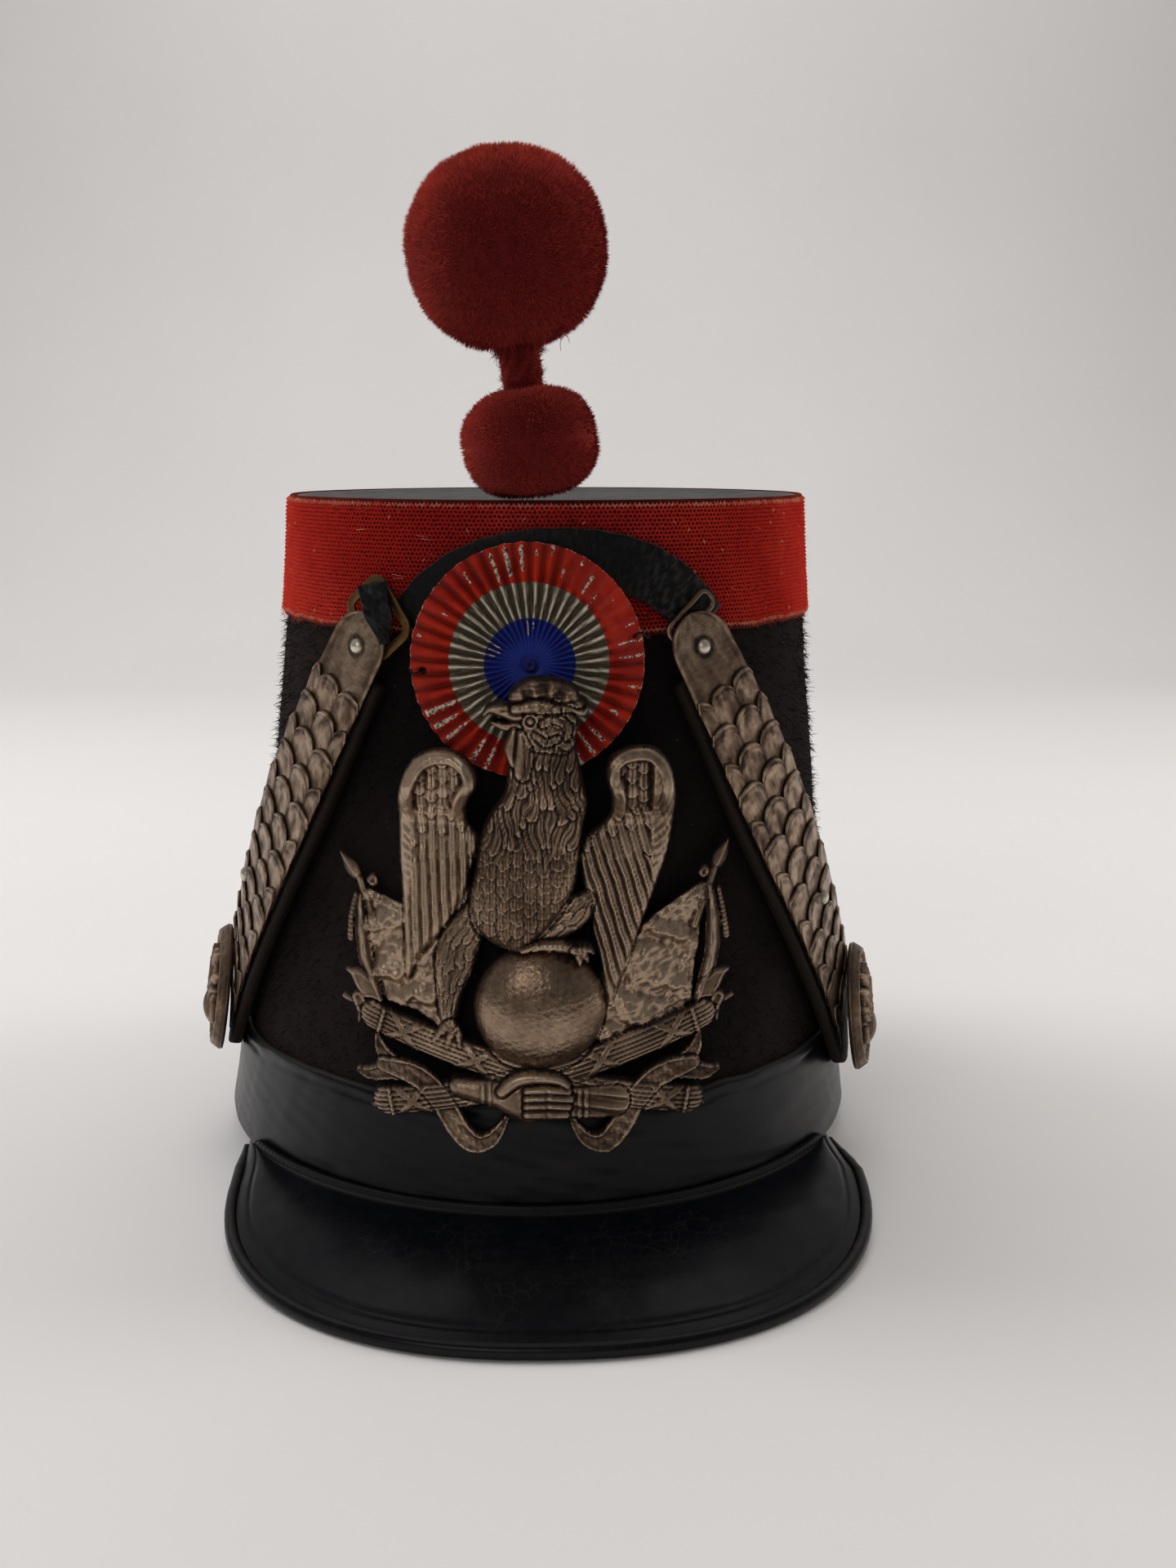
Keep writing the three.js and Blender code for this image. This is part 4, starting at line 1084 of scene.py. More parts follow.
# The disc is a shallow cone, so that its middle looks a little lower and to the right from the camera.
slide = (1 - (radius / COCKADE_R) ** 2)[..., None] * (0.75 * right - 1.1 * up)
top = on_disc(radius * rim, angle + 0 * radius, height) + slide
under = slice(None, None, 9)
bottom = on_disc((radius * rim)[:, under], angle + 0 * radius[:, under], height[:, under] - 0.35)
bottom = bottom + slide[:, under]
streak = 0.5 + 0.5 * wobble(angle * FOLDS * 1.6, radius * 0.5, pitch=3.2, seed=13, layers=4)
# The silver ring is paler on the backs of the folds, as painted highlight, and in rubbed streaks, as wear.
silver_wear_and_sheen = clip(0.25 + 0.75 * (back ** 2.5 - 0.45) + 1.1 * (streak - 0.5), 0, 1)
in_silver = (zone > 0.39) & (zone < 0.69)
wear = np.where(in_silver, silver_wear_and_sheen, chips(angle, radius))
wear = maximum(wear, 0.45 * (zone > 0.994))
shade = stack([zone, clip(wear, 0, 1), clip(0.6 * depth + 0.65 * dark, 0, 1)], -1)
sections = concatenate([top, bottom[:, ::-1]], 1)
colour = concatenate([shade, shade[:, under][:, ::-1]], 1)
finish(tube("cockade_painted", sections, closed=True, colour=colour), "painted_tin", PAINT, "cockade")

# %% [markdown]
# A dark waxed thread comes out of each hole and goes down over the rim. It is a thin round bar along a line.

# %% Ties of the cockade
def cord(heap, line, thickness, sides=8, colour=None):
    """A round bar along a line of points."""
    line = np.asarray(line, float)
    ahead = unit(np.gradient(line, axis=0))
    helper = np.where(np.abs(ahead[:, 2:3]) > 0.9, [[1.0, 0, 0]], [[0, 0, 1.0]])
    side = unit(np.cross(ahead, helper))
    lift = np.cross(side, ahead)
    angle = turns_of(sides)[None, :, None]
    thickness = np.broadcast_to(np.asarray(thickness, float), (len(line),))[:, None, None]
    ring = side[:, None] * cos(angle) + lift[:, None] * sin(angle)
    heap.tube(line[:, None] + ring * thickness, colour=colour)


ties = Heap()
for hole_x, hole_y in holes:
    base_angle, base_radius = math.atan2(hole_y, hole_x), math.hypot(hole_x, hole_y)
    t = linspace(0, 1, 12)
    tie_radius = np.interp(t, [0, 0.5, 1], [base_radius, base_radius + 2.2, base_radius + 3.4])
    tie_height = np.interp(t, [0, 0.15, 0.5, 0.8, 1], [0.6, 2.1, 2.2, 0.2, -2.6])
    cord(ties, on_disc(tie_radius, base_angle + 0.03 * sin(t * 5), tie_height), 0.24)
finish(ties.make("cockade_ties"), "black_leather", DRY)

# %% [markdown]
# ## Badge
# The badge is stamped from thin silvered brass: a bird on a globe, between two flags on spears, with two bundles of
# rods and axes, clasped hands and ribbons. It is built as a height field over the plane of the badge and then bent
# over the wall. Places are read off the photograph.

# %% The badge's plane
BADGE_X, BADGE_Z = -1.6, 79.4


def badge_back(x, z):
    """How far the back of the badge stands off the wall. Its top clears the cockade."""
    over = ease(z, 99.0, 109.0)
    return 2.4 + over * (5 + minimum(np.abs(x), 16) ** 2 / 126)


def badge_point(x, y, height):
    z = BADGE_Z + y
    return face(x + BADGE_X, z, badge_back(x, z) + height)


def from_photo(pixels):
    """Badge coordinates of points read off the photograph."""
    p = array([pixel.split(",") for pixel in pixels.split()], float)
    return stack([(p[:, 0] - 660) / 5.5, (1119 - p[:, 1]) / 5.44], 1)


def rounded(points, steps=8, closed=True):
    """A smooth curve through points."""
    points = np.asarray(points, float)
    count = len(points)
    at = (lambda i: points[i % count]) if closed else (lambda i: points[min(max(i, 0), count - 1)])
    curve = []
    for i in range(count if closed else count - 1):
        p0, p1, p2, p3 = at(i - 1), at(i), at(i + 1), at(i + 2)
        for t in linspace(0, 1, steps, endpoint=False):
            curve.append(0.5 * (2 * p1 + (p2 - p0) * t + (2 * p0 - 5 * p1 + 4 * p2 - p3) * t ** 2
                                + (3 * p1 - p0 - 3 * p2 + p3) * t ** 3))
    if not closed:
        curve.append(points[-1])
    return array(curve)


print("top of the badge", badge_point(array(0.0), array(52.0), array(0.0)).round(1))

# %% [markdown]
# The relief is a grid of heights. A form is laid on it as a band along a line or as a patch inside an outline, and
# gives its height from the distance to its own edge. It wins where it is higher than what lies there.

# %% The field of heights
class Field:
    """Heights and inside distances of the badge on a square grid."""

    def __init__(self, low, high, cell):
        self.cell = cell
        xs = np.arange(low[0], high[0] + cell, cell)
        ys = np.arange(low[1], high[1] + cell, cell)
        self.x, self.y = np.meshgrid(xs, ys, indexing="ij")
        self.height = np.full(self.x.shape, -1.0)
        self.inside = np.full(self.x.shape, -9.0)
        self.tone = np.zeros(self.x.shape)

    def window(self, low, high):
        i0, j0 = ((array(low) - [self.x[0, 0], self.y[0, 0]]) / self.cell).astype(int) - 3
        i1, j1 = ((array(high) - [self.x[0, 0], self.y[0, 0]]) / self.cell).astype(int) + 4
        return slice(max(i0, 0), max(i1, 1)), slice(max(j0, 0), max(j1, 1))

    def lay(self, window, inside, height, sink=0.0, tone=0.0):
        """Puts a form on the field where it is higher than what lies there."""
        old = self.height[window]
        here = np.where(inside > -0.02, height, -1.0)
        if sink:  # a dark line round a form that lies on another
            gap = (inside > -0.7) & (inside <= 0) & (old > 0)
            old = np.where(gap, maximum(old - sink * (1 + inside / 0.7), 0.3), old)
        self.tone[window] = np.where(here > old, tone, self.tone[window])
        self.height[window] = maximum(old, here)
        self.inside[window] = maximum(self.inside[window], inside)

    def band(self, rows, profile, sink=0.35, tone=0.0):
        """A form along a line. rows hold x, y and half width. profile(along, share, inside) gives the height."""
        line = rounded(np.asarray(rows, float), 16, closed=False)
        along = concatenate([[0], np.cumsum(np.linalg.norm(np.diff(line[:, :2], axis=0), axis=1))])
        reach = line[:, 2].max() + 1.5
        window = self.window(line[:, :2].min(0) - reach, line[:, :2].max(0) + reach)
        x, y = self.x[window], self.y[window]
        best = np.full(x.shape, 1e9)
        where = np.zeros(x.shape, int)
        for k, (px, py, _half) in enumerate(line):
            distance = (x - px) ** 2 + (y - py) ** 2
            nearer = distance < best
            best = np.where(nearer, distance, best)
            where = np.where(nearer, k, where)
        heading = np.gradient(line[:, :2], axis=0)
        heading /= np.linalg.norm(heading, axis=1, keepdims=True)
        dx, dy = x - line[where, 0], y - line[where, 1]
        half = maximum(line[where, 2], 0.2)
        across = heading[where, 0] * dy - heading[where, 1] * dx
        forward = heading[where, 0] * dx + heading[where, 1] * dy
        beyond = np.where(where == 0, -forward, np.where(where == len(line) - 1, forward, 0.0))
        inside = half - hypot(across, maximum(beyond, 0))
        inside = np.where(sqrt(best) > half + 2.5, -3.0, inside)
        share = clip(across / half, -1, 1)
        self.lay(window, inside, profile(along[where] + forward, share, inside, x, y), sink, tone)

    def patch(self, outline, profile, sink=0.35, tone=0.0):
        """A form with an outline. profile(inside, x, y) gives the height."""
        window = self.window(outline.min(0) - 1.5, outline.max(0) + 1.5)
        x, y = self.x[window], self.y[window]
        best = np.full(x.shape, 1e9)
        odd = np.zeros(x.shape, bool)
        for (ax, ay), (bx, by) in zip(outline, np.roll(outline, -1, axis=0)):
            ex, ey = bx - ax, by - ay
            t = clip(((x - ax) * ex + (y - ay) * ey) / (ex * ex + ey * ey + 1e-12), 0, 1)
            best = minimum(best, (x - ax - t * ex) ** 2 + (y - ay - t * ey) ** 2)
            crosses = (ay > y) != (by > y)
            odd ^= crosses & (x < ax + (y - ay) * ex / (ey if abs(ey) > 1e-12 else 1e-12))
        inside = np.where(odd, 1, -1) * sqrt(best)
        self.lay(window, inside, profile(inside, x, y), sink, tone)


def dome(inside, reach):
    """Rises from 0 at an edge to 1 at the distance reach."""
    t = clip(inside / reach, 0, 1)
    return sqrt(1 - (1 - t) ** 2)


def feathers(x, y, wide, tall, curve=0.3, seed=1, spread=0.5):
    """Feathers in columns, each with its tip at a height of its own. High at a tip, low at the root below the next."""
    column = np.floor(x / wide)
    u = x / wide - column - 0.5
    chance = np.random.default_rng(seed).uniform(size=64)
    start = 0.5 * (column % 2) + spread * chance[column.astype(int) % 64]
    v = (y / tall + start - curve * (2 * u) ** 2) % 1
    groove = ridge(np.abs(u) - 0.5, 0.09)
    tip = ridge(v, 0.09)
    return 0.4 + 0.5 * (1 - v) + 0.25 * tip - 0.55 * groove - 0.12 * cos(u * 19)


print("badge helpers are ready")

# %% [markdown]
# Low forms are laid first, and each later one sinks a dark line round itself where it lies on another. At the back
# are the two flags, with folds and a fringe, their tassels, spears and axes. The flags stay bare.

# %% Flags, spears and axes
field = Field((-48.5, -56.0), (48.5, 54.5), 0.3)


def laid(what):
    print(what, "laid, the forms now cover", f"{(field.inside > 0).mean():.3f} of the grid")


def flag(mirror, outline):
    def profile(inside, x, y):
        fold = sin((x * 0.55 + mirror * y * 0.85) / 1.5 + 1.4 * wobble(x, y, pitch=13, seed=51))
        fringe = 0.3 * np.abs(sin((x + y) * 3.2)) * (inside < 1.3)
        rim = 0.2 * ridge(inside - 1.5, 0.35)
        pits = 0.5 * wobble(x, y, pitch=5.0, seed=52, layers=2) + 0.2 * wobble(x, y, pitch=2.1, seed=53)
        return 1.4 + 0.7 * fold + rim - fringe + pits + 0.25 * dome(inside, 0.8)
    field.patch(rounded(outline, 5), profile, tone=-0.36)


flag(-1, from_photo("""
    444,1104 466,1109 500,1118 540,1130 566,1190 560,1250 545,1262 505,1243 466,1232 452,1208 446,1186 441,1158
    439,1125"""))
flag(1, from_photo("""
    779,1144 820,1118 866,1094 870,1108 864,1150 858,1182 852,1232 852,1240 795,1258 737,1274 728,1240 742,1180"""))


def bar(rows, low, tall, reach, sink=0.35, ripple=(0.0, 1.0)):
    """A rounded bar along a line, with ripples across it given by their height and how close they are."""
    field.band(rows, lambda a, s, i, x, y: low + tall * dome(i, reach) + ripple[0] * sin(a * ripple[1]), sink)


def drape(rows):
    field.band(rows, lambda a, s, i, x, y: 1.9 + 0.7 * cos(s * 3.1) * dome(i, 0.7) + 0.2 * sin(a * 1.1))


drape([[-40.6, 0.5, 0.9], [-40.4, -6, 1.6], [-39.6, -12.5, 1.8], [-37.6, -18, 1.6], [-36.2, -21.5, 0.8]])
drape([[39.4, 3.0, 0.9], [40.2, -5, 1.7], [39.8, -12.5, 1.8], [38.2, -17.5, 1.6], [36.6, -21.8, 0.7]])
bar([[-41.8, 1.2, 0.5], [-43.0, -4, 0.6], [-43.2, -9, 0.75]], 1.2, 0.5, 0.6, ripple=(0.12, 6))
bar([[41.6, 2.6, 0.5], [42.8, -3, 0.6], [43.6, -8.6, 0.75]], 1.2, 0.5, 0.6, ripple=(0.12, 6))


def spear(tip, neck, knot, foot):
    field.band([[*tip, 0.25], [*mix(array(tip), array(neck), 0.55), 1.75], [*neck, 0.8]],
               lambda a, s, i, x, y: 0.9 + 1.1 * (1 - np.abs(s)) * dome(i, 0.5))
    bar([[*neck, 0.9], [*foot, 0.9]], 0.9, 0.9, 0.9)
    field.band([[*knot, 1.3], [knot[0] + 0.2, knot[1] + 0.2, 1.3]],
               lambda a, s, i, x, y: 1.2 + 1.4 * dome(i, 1.2) - 0.5 * (i > 0.8))


spear((-45.6, 10.1), (-40.6, 4.4), (-37.6, 5.1), (-37.0, -6))
spear((44.0, 13.3), (40.4, 6.8), (37.8, 7.0), (35.8, -5))


def axe(m):
    blade = array([(-44.5, -16.4), (-41.1, -15.6), (-38.4, -16.9), (-36.2, -18.6), (-35.6, -22.4), (-38.2, -22.2),
                      (-40.4, -22.4), (-42.0, -20.2), (-43.2, -17.9)]) * [m, 1]
    field.patch(rounded(blade, 6), lambda i, x, y: 0.9 + 1.2 * dome(i, 1.6) + 0.35 * ridge(i - 0.9, 0.25))
    bar([[-44.8 * m, -22.8, 0.6], [-42.8 * m, -23.3, 0.7], [-35 * m, -25.2, 0.8]], 1, 0.9, 0.7)
    field.band([[-41.4 * m, -22.4, 1.5], [-40.4 * m, -24.4, 1.5]],
               lambda a, s, i, x, y: 1.5 + 0.8 * dome(i, 0.6) - 0.5 * (i > 0.8))
    bar([[-41.0 * m, -25.0, 0.8], [-41.3 * m, -28.0, 0.2]], 1, 0.7, 0.6)


axe(1)
axe(-1)
laid("flags, spears and axes")

# %% [markdown]
# Two bundles of rods cross below, tied with crossed straps and a hoop at each end. A ribbon with hems and rolls winds
# round each. The ribbons stay bare too.

# %% Bundles and ribbons
def bundle(rows):
    def profile(along, share, inside, x, y):
        rods = 0.75 * np.abs(sin(pi * share * 3)) ** 0.6
        cross = np.minimum.reduce([np.abs((along - middle) * 0.62 - share * lean * 2.2)
                                   for middle in (7.5, 24.5, 52.5, 68.5) for lean in (-1, 1)])
        strap = ease(0.75 - cross, 0.0, 0.2)
        hoop = ease(0.45 - minimum(np.abs(along - 2.0), np.abs(along - 73.5)), 0, 0.15)
        tied = 0.95 * maximum(strap, hoop) + 0.05 * sin(along * 9) * strap
        return 1.0 + 1.9 * dome(inside, 2.4) + rods * (1 - strap) + tied
    field.band(rows, profile, 0.5)


bundle([[-37.6, -25.4, 3.1], [-18, -31, 3.2], [0, -36, 3.1], [18, -40.5, 3.1], [34.6, -44.2, 3.2]])
bundle([[37.6, -25.4, 3.1], [18, -31, 3.2], [0, -36, 3.1], [-18, -40.5, 3.1], [-34.6, -44.2, 3.2]])
for m in (-1, 1):
    bar([[37.6 * m, -46.0, 0.7], [35 * m, -45.4, 1.0]], 1, 0.9, 0.7)


def ribbon(rows, low=1.5):
    def profile(along, share, inside, x, y):
        hem = 0.5 * ridge(np.abs(share) - 0.86, 0.13)
        roll = 0.45 * sin(along / 4.2 + 1) + 0.25 * share * sin(along / 3.1)
        roll = roll + 0.2 * wobble(x, y, pitch=2.2, seed=57)
        return low + 1.2 + hem + roll + 0.25 * dome(inside, 0.5) - 0.35 * (1 - share ** 2)
    field.band(rows, profile, 0.6)


for m in (-1, 1):
    ribbon([[36.8 * m, -29.4, 0.4], [35.4 * m, -33.2, 1.5], [31 * m, -36.8, 2.1]], 0.9)
    ribbon([[41.6 * m, -38.6, 0.3], [38.4 * m, -38.8, 1.3], [34 * m, -37.4, 1.9], [30 * m, -36.8, 2.2]], 0.7)
    ribbon([[35.5 * m, -35.8, 1.4], [30.5 * m, -36.3, 2.3], [26.2 * m, -37.9, 2.5], [22.2 * m, -41.6, 2.5],
            [18.9 * m, -46.9, 2.5], [15.4 * m, -50.6, 2.3], [12 * m, -50.6, 1.6], [9.4 * m, -48.6, 1.1],
            [7.2 * m, -45.2, 0.4]])
laid("bundles and ribbons")

# %% [markdown]
# The wings are the highest forms beside the bird. Each has a smooth rolled shoulder, two kinds of short feathers, and
# long quills with a shaft and fine barbs.

# %% Wings
def wing(outline, top, lean, edge_side):
    """A raised wing: a thick rounded shoulder, two rows of short feathers, then long quills with fine barbs."""
    middle = outline[:, 0].mean()

    def profile(inside, x, y):
        lengthwise = x + lean * (y - 5)
        quill = ((lengthwise - middle) / 2.25 + 0.1 * wobble(x, y, pitch=11, seed=61)) % 1
        vane = clip(1.25 * sin(pi * quill), 0, 1) ** 0.7
        shaft = ridge(quill - 0.36, 0.06)
        barbs = sin((y + (quill - 0.36) * 2.4 * edge_side) * 8.5)
        quills = 1.15 * vane + 0.25 * shaft - 0.3 * ridge(quill - 0.47, 0.05) + 0.12 * barbs * vane
        coverts = 1.5 * feathers(lengthwise - middle, y, 2.25, 9.5, 0.16, 63, 0.3)
        small = 1.4 * feathers(x - middle, y, 2.6, 3.4, 0.3, 64, 0.2)
        in_column = np.floor((lengthwise - middle) / 2.25).astype(int) % 40
        stagger = np.random.default_rng(65).uniform(-2.6, 1.2, 40)[in_column]
        to_covert = ease(y - stagger - 1.2 * (2 * (quill - 0.5)) ** 2, 13.6, 14.2)
        to_small = ease(y, 23.8, 24.4)
        plumage = mix(mix(quills, coverts, to_covert), small - 0.5, to_small)
        recess = ease(inside, 3.0, 3.8) * ease(y, 22.5, 24.0) * ease(36.0 - y, 0, 5)
        plumage = plumage - 1.3 * recess
        rim = ease(3.3 - inside, 0.0, 0.6) * ease(y, 19, 23)
        rim = maximum(rim, ease(edge_side * (x - middle) - 5.4, 0, 0.9) * ease(y, 2, 12) * 0.8)
        shoulder = hypot(x - top[0], (y - top[1]) / 1.15)
        smooth = 1.7 + 0.1 * sin(shoulder * 4.2) + 0.1 * wobble(x, y, pitch=2.2, seed=66)
        plumage = mix(plumage, smooth, rim)
        body = 1.5 * dome(inside, 2.2) + 0.9 * dome(inside, 6.5)
        return 0.45 + body + plumage * dome(inside, 0.8)

    field.patch(rounded(outline, 6), profile, 0.7, -0.22 + 0.1 * edge_side)


left_outline = from_photo("""
    489,1000 491,972 500,944 516,924 538,915 560,916 578,927 588,944 587,960 579,972 574,990 578,1010 589,1024
    586,1042 579,1064 574,1088 562,1112 550,1136 530,1156 513,1176 500,1204 496,1204 495,1176 494,1140 492,1100
    489,1050""")
right_outline = from_photo("""
    742,945 746,926 760,915 780,911 800,914 815,926 824,944 828,970 829,998 825,1030 818,1056 806,1088 795,1116
    783,1146 772,1176 760,1204 750,1229 745,1228 740,1200 735,1166 728,1140 724,1110 716,1080 712,1046 720,1022
    737,1010 748,994 749,972""")
wing(left_outline, (-21.5, 29), 0.03, -1)
wing(right_outline, (21.8, 29), 0.3, 1)
laid("wings")

# %% [markdown]
# The thighs are thick with feathers. The globe is a smooth ball, polished by handling, and the bird stands on it: one
# foot hangs beside it, the other leg lies along its top.

# %% Thighs, globe and feet
def thigh(rows, seed):
    def profile(along, share, inside, x, y):
        plumes = 0.8 * feathers(share * 3.4 + 0.5 * wobble(x, y, pitch=7, seed=seed), -along, 1.5, 6.0, 0.3, seed)
        return 1.6 + 2.3 * dome(inside, 3.4) + plumes * dome(inside, 0.7)
    field.band(rows, profile, 0.8)


# Curled tail feathers show between the left wing and the body.
for k in range(5):
    bar([[-17.8 + 0.9 * k, -1.5 - 0.4 * k, 0.5], [-16.6 + 0.8 * k, 3.8 - 0.2 * k, 0.55], [-13.2 + 0.4 * k, 6.8, 0.4]],
        1.5, 0.8, 0.5)
thigh([[-13.5, 0, 3.2], [-17.2, -6, 4.4], [-18.9, -12, 4.2], [-20.0, -18, 2.8], [-20.3, -23, 1.9]], 71)
thigh([[-4, -7.2, 1.3], [1.5, -4.2, 2.6], [6.4, -0.2, 3.9], [9.4, 2.2, 3.6], [10.6, 3.4, 2.2]], 72)

globe_x, globe_y, globe_r = 0.3, -20.6, 13.7


def globe_profile(inside, x, y):
    ball = 8.2 * sqrt(clip(1 - 0.93 * (1 - clip(inside / globe_r, 0, 1)) ** 2, 0, 1)) - 0.6
    return ball + 0.05 * wobble(x, y, pitch=1.6, seed=81)


circle = turns_of(90)
ring = stack([globe_x + (globe_r + 0.5) * cos(circle) * 1.04, globe_y + (globe_r + 0.5) * sin(circle)], 1)
field.patch(ring, globe_profile, 1.2, -0.02)

# One foot hangs beside the globe. The other leg lies along its top, with the claws over its right side.
for toe in ((-17.6, -29.5), (-20.6, -30.0), (-23.4, -28.4)):
    bend = mix(array((-19.6, -24.5)), array(toe), 0.5) + [0.5, 0.7]
    bar([[-19.6, -24.5, 1.1], [*bend, 1.0], [*toe, 0.45]], 2.6, 1.0, 0.9, ripple=(0.12, 5))
bar([[-3.5, -6.8, 0.6], [0.9, -5.8, 0.9], [5.5, -6.0, 1.0], [8.4, -7.0, 1.0]], 5.6, 1.0, 0.9, ripple=(0.1, 6))
for toe in ((9.2, -10.2), (11.0, -9.2), (12.2, -7.4)):
    bend = mix(array((8.0, -6.8)), array(toe), 0.6) + [0.4, 0.5]
    bar([[8.0, -6.8, 0.9], [*bend, 0.8], [*toe, 0.3]], 5.4, 1.1, 0.8, ripple=(0.12, 6))
laid("thighs, globe and feet")

# %% [markdown]
# The body swells most. Its breast has small curved feathers, and long narrow ones flow down the neck. The head has an
# eye in a calm ring, an open beak, two lobes, curled feathers and a fleshy comb.

# %% Body and head
def trunk_profile(inside, x, y):
    u = x - 0.3
    stipple = 0.1 * sin(x * 8.5 + 0.8 * sin(y * 2)) + 0.12 * wobble(x, y, pitch=1.2, seed=90)
    shifted_x = x + 0.5 * wobble(x, y, pitch=6, seed=96)
    shifted_y = y + 0.6 * wobble(x, y, pitch=5, seed=97)
    breast = 0.6 * feathers(shifted_x, shifted_y, 3.0, 3.3, 0.42, 91, 0.3)
    sway = 0.9 * sin(y * 0.4 + u * 0.3) + 0.8 * wobble(x, y * 0.6, pitch=8, seed=95)
    hackle = 1.25 * feathers(u * (1 + 0.012 * (y - 20)) + sway, y, 1.75, 9.0, 0.14, 94, 0.9)
    to_hackle = ease(y + 1.4 * cos(u * 0.75) + 2.2 * wobble(x, 0 * y, pitch=5, seed=98), 13.5, 15.5)
    body = 5.6 * dome(inside, 9.5) + 0.8 * dome(inside, 1.8)
    return 1.1 + body + mix(breast + stipple, hackle, to_hackle) * dome(inside, 0.7)


trunk_outline = from_photo("""
    632,905 625,938 622,962 610,984 596,1008 590,1030 585,1060 578,1090 577,1112 583,1132 598,1148 618,1158
    636,1162 650,1156 668,1138 688,1114 702,1092 709,1066 712,1036 716,1010 720,984 718,962 712,936 706,905
    703,880 660,870 633,886""")
field.patch(rounded(trunk_outline, 6), trunk_profile, 0.9, 0.1)


def head_profile(inside, x, y):
    swept_x = (x + 0.35 * (y - 40)) + 0.8 * wobble(x, y, pitch=6, seed=101)
    plume = 0.9 * feathers(swept_x, y - 0.5 * x, 1.7, 5.5, 0.2, 102)
    from_eye = hypot(x + 1.4, y - 44.4)
    eye = 1.5 * sqrt(clip(1 - (from_eye / 0.8) ** 2, 0, 1)) + 0.85 * ridge(from_eye - 1.4, 0.27)
    calm = np.exp(-(((x + 2.4) / 3.2) ** 2 + ((y - 43.9) / 2.4) ** 2))
    return 5.0 + 2.4 * dome(inside, 5.0) + plume * (1 - 0.95 * calm) + eye - 1.2 * ridge(from_eye, 2.2)


head_outline = from_photo("""
    636,856 650,851 672,848 692,850 705,862 707,884 704,905 694,915 676,913 656,911 644,902 636,890 632,874""")
field.patch(rounded(head_outline, 6), head_profile, 0.7, 0.1)


def beak_profile(along, share, inside, x, y):
    nostril = np.exp(-(((x + 7.0) / 0.9) ** 2 + ((y - 46.6) / 0.35) ** 2))
    return 5.2 + 1.6 * dome(inside, 1.4) - 0.5 * nostril


def comb_profile(along, share, inside, x, y):
    return 5.6 + 1.7 * dome(inside, 1.7) + 0.45 * sin(along * 1.7) + 0.3 * wobble(x, y, pitch=3, seed=103)


# The beak is short and open and points to the viewer's left. Two lobes hang below it.
field.band([[-4.6, 45.8, 1.7], [-7.6, 46.7, 1.4], [-10.2, 46.7, 0.8], [-11.4, 45.5, 0.25]], beak_profile, 0.9)
bar([[-4.4, 42.9, 1.1], [-7.4, 43.2, 0.9], [-9.6, 44.0, 0.3]], 4.7, 1.2, 0.9, 0.9)
bar([[-4.8, 42.0, 0.8], [-5.7, 38.4, 1.3], [-5.0, 34.8, 0.7]], 5.0, 1.4, 1.1, 0.9)
field.band([[-3.4, 41.6, 0.8], [-2.7, 37.6, 1.9], [-3.2, 33.2, 1.7]],
           lambda a, s, i, x, y: 5.4 + 1.4 * dome(i, 1.3) - 0.3 * ridge(s - 0.2, 0.2), 0.9)
# Curled feathers behind the eye, the fleshy comb, and the brow under it.
for rows in ([[1.2, 43.8, 0.7], [3.8, 45.0, 0.9], [6.4, 43.6, 0.9], [6.4, 41.0, 0.6]],
             [[-0.4, 41.4, 0.6], [2.0, 39.9, 0.8], [4.4, 40.8, 0.7]],
             [[4.5, 47.0, 0.8], [7.4, 47.5, 1.0], [9.8, 46.2, 0.8], [11.0, 47.2, 0.4]]):
    bar(rows, 6.2, 1.2, 0.9, 0.8)
comb = [[-4.6, 49.4, 1.5], [-1.6, 51.0, 2.1], [3.0, 51.3, 2.1], [6.8, 50.0, 2.0], [9.0, 48.2, 1.0]]
field.band(comb, comb_profile, 0.9, 0.1)
bar([[-4.6, 46.9, 1.0], [0.2, 47.6, 1.4], [4.0, 46.9, 1.1]], 6.3, 1.4, 1.2, 0.9, (0.15, 3))
laid("body and head")

# %% [markdown]
# Two clasped hands lie over the crossing of the bundles. The left one has a cuff and four fingers with a knuckle each,
# and its thumb lies on top. Of the right one the pleated sleeve shows.

# %% Hands
def hand_profile(along, share, inside, x, y):
    cuff = 0.5 * ease(0.5 - minimum(np.abs(x + 12.4), np.abs(x + 10.9)), 0, 0.2)
    return 3.1 + 1.6 * dome(inside, 2.6) + cuff


def sleeve_profile(along, share, inside, x, y):
    pleat = 0.35 * sin(share * 7 + along * 0.35)
    hem = 0.5 * ease(0.45 - minimum(np.abs(x - 9.1), np.abs(x - 10.6)), 0, 0.2)
    return 2.9 + 1.2 * dome(inside, 2.4) + pleat + hem


field.band([[5, -41.6, 3.2], [10, -41.5, 3.4], [17, -41.8, 3.5]], sleeve_profile, 0.7)
palm = [[-18, -38.4, 2.0], [-13.5, -39.0, 2.5], [-9.5, -39.6, 2.8], [-5.6, -40.4, 3.9], [-2.2, -41.0, 4.6]]
field.band(palm, hand_profile, 0.8)
for k in range(4):
    fingertip = [7.0 - 0.5 * abs(k - 1), -38.6 - 1.72 * k, 0.8]
    field.band([[-2.6, -38.4 - 1.75 * k, 0.9], [1.6, -38.3 - 1.75 * k, 0.95], fingertip],
               lambda a, s, i, x, y: 4.5 + 1.0 * dome(i, 0.85) - 0.2 * ridge(a - 4.4, 0.4), 0.8)
bar([[-8.2, -38.6, 1.1], [-5.0, -36.0, 1.25], [-0.8, -35.2, 1.1], [4.2, -35.8, 0.9], [6.4, -37.2, 0.6]],
    4.9, 1.0, 1.0, 0.8)
laid("hands")
print("relief grid", field.x.shape)

# %% [markdown]
# Tarnish gathers where a point lies lower than its surroundings. The heights are blurred by averaging neighbours, a
# little and a lot, and the difference says how hollow a point is.

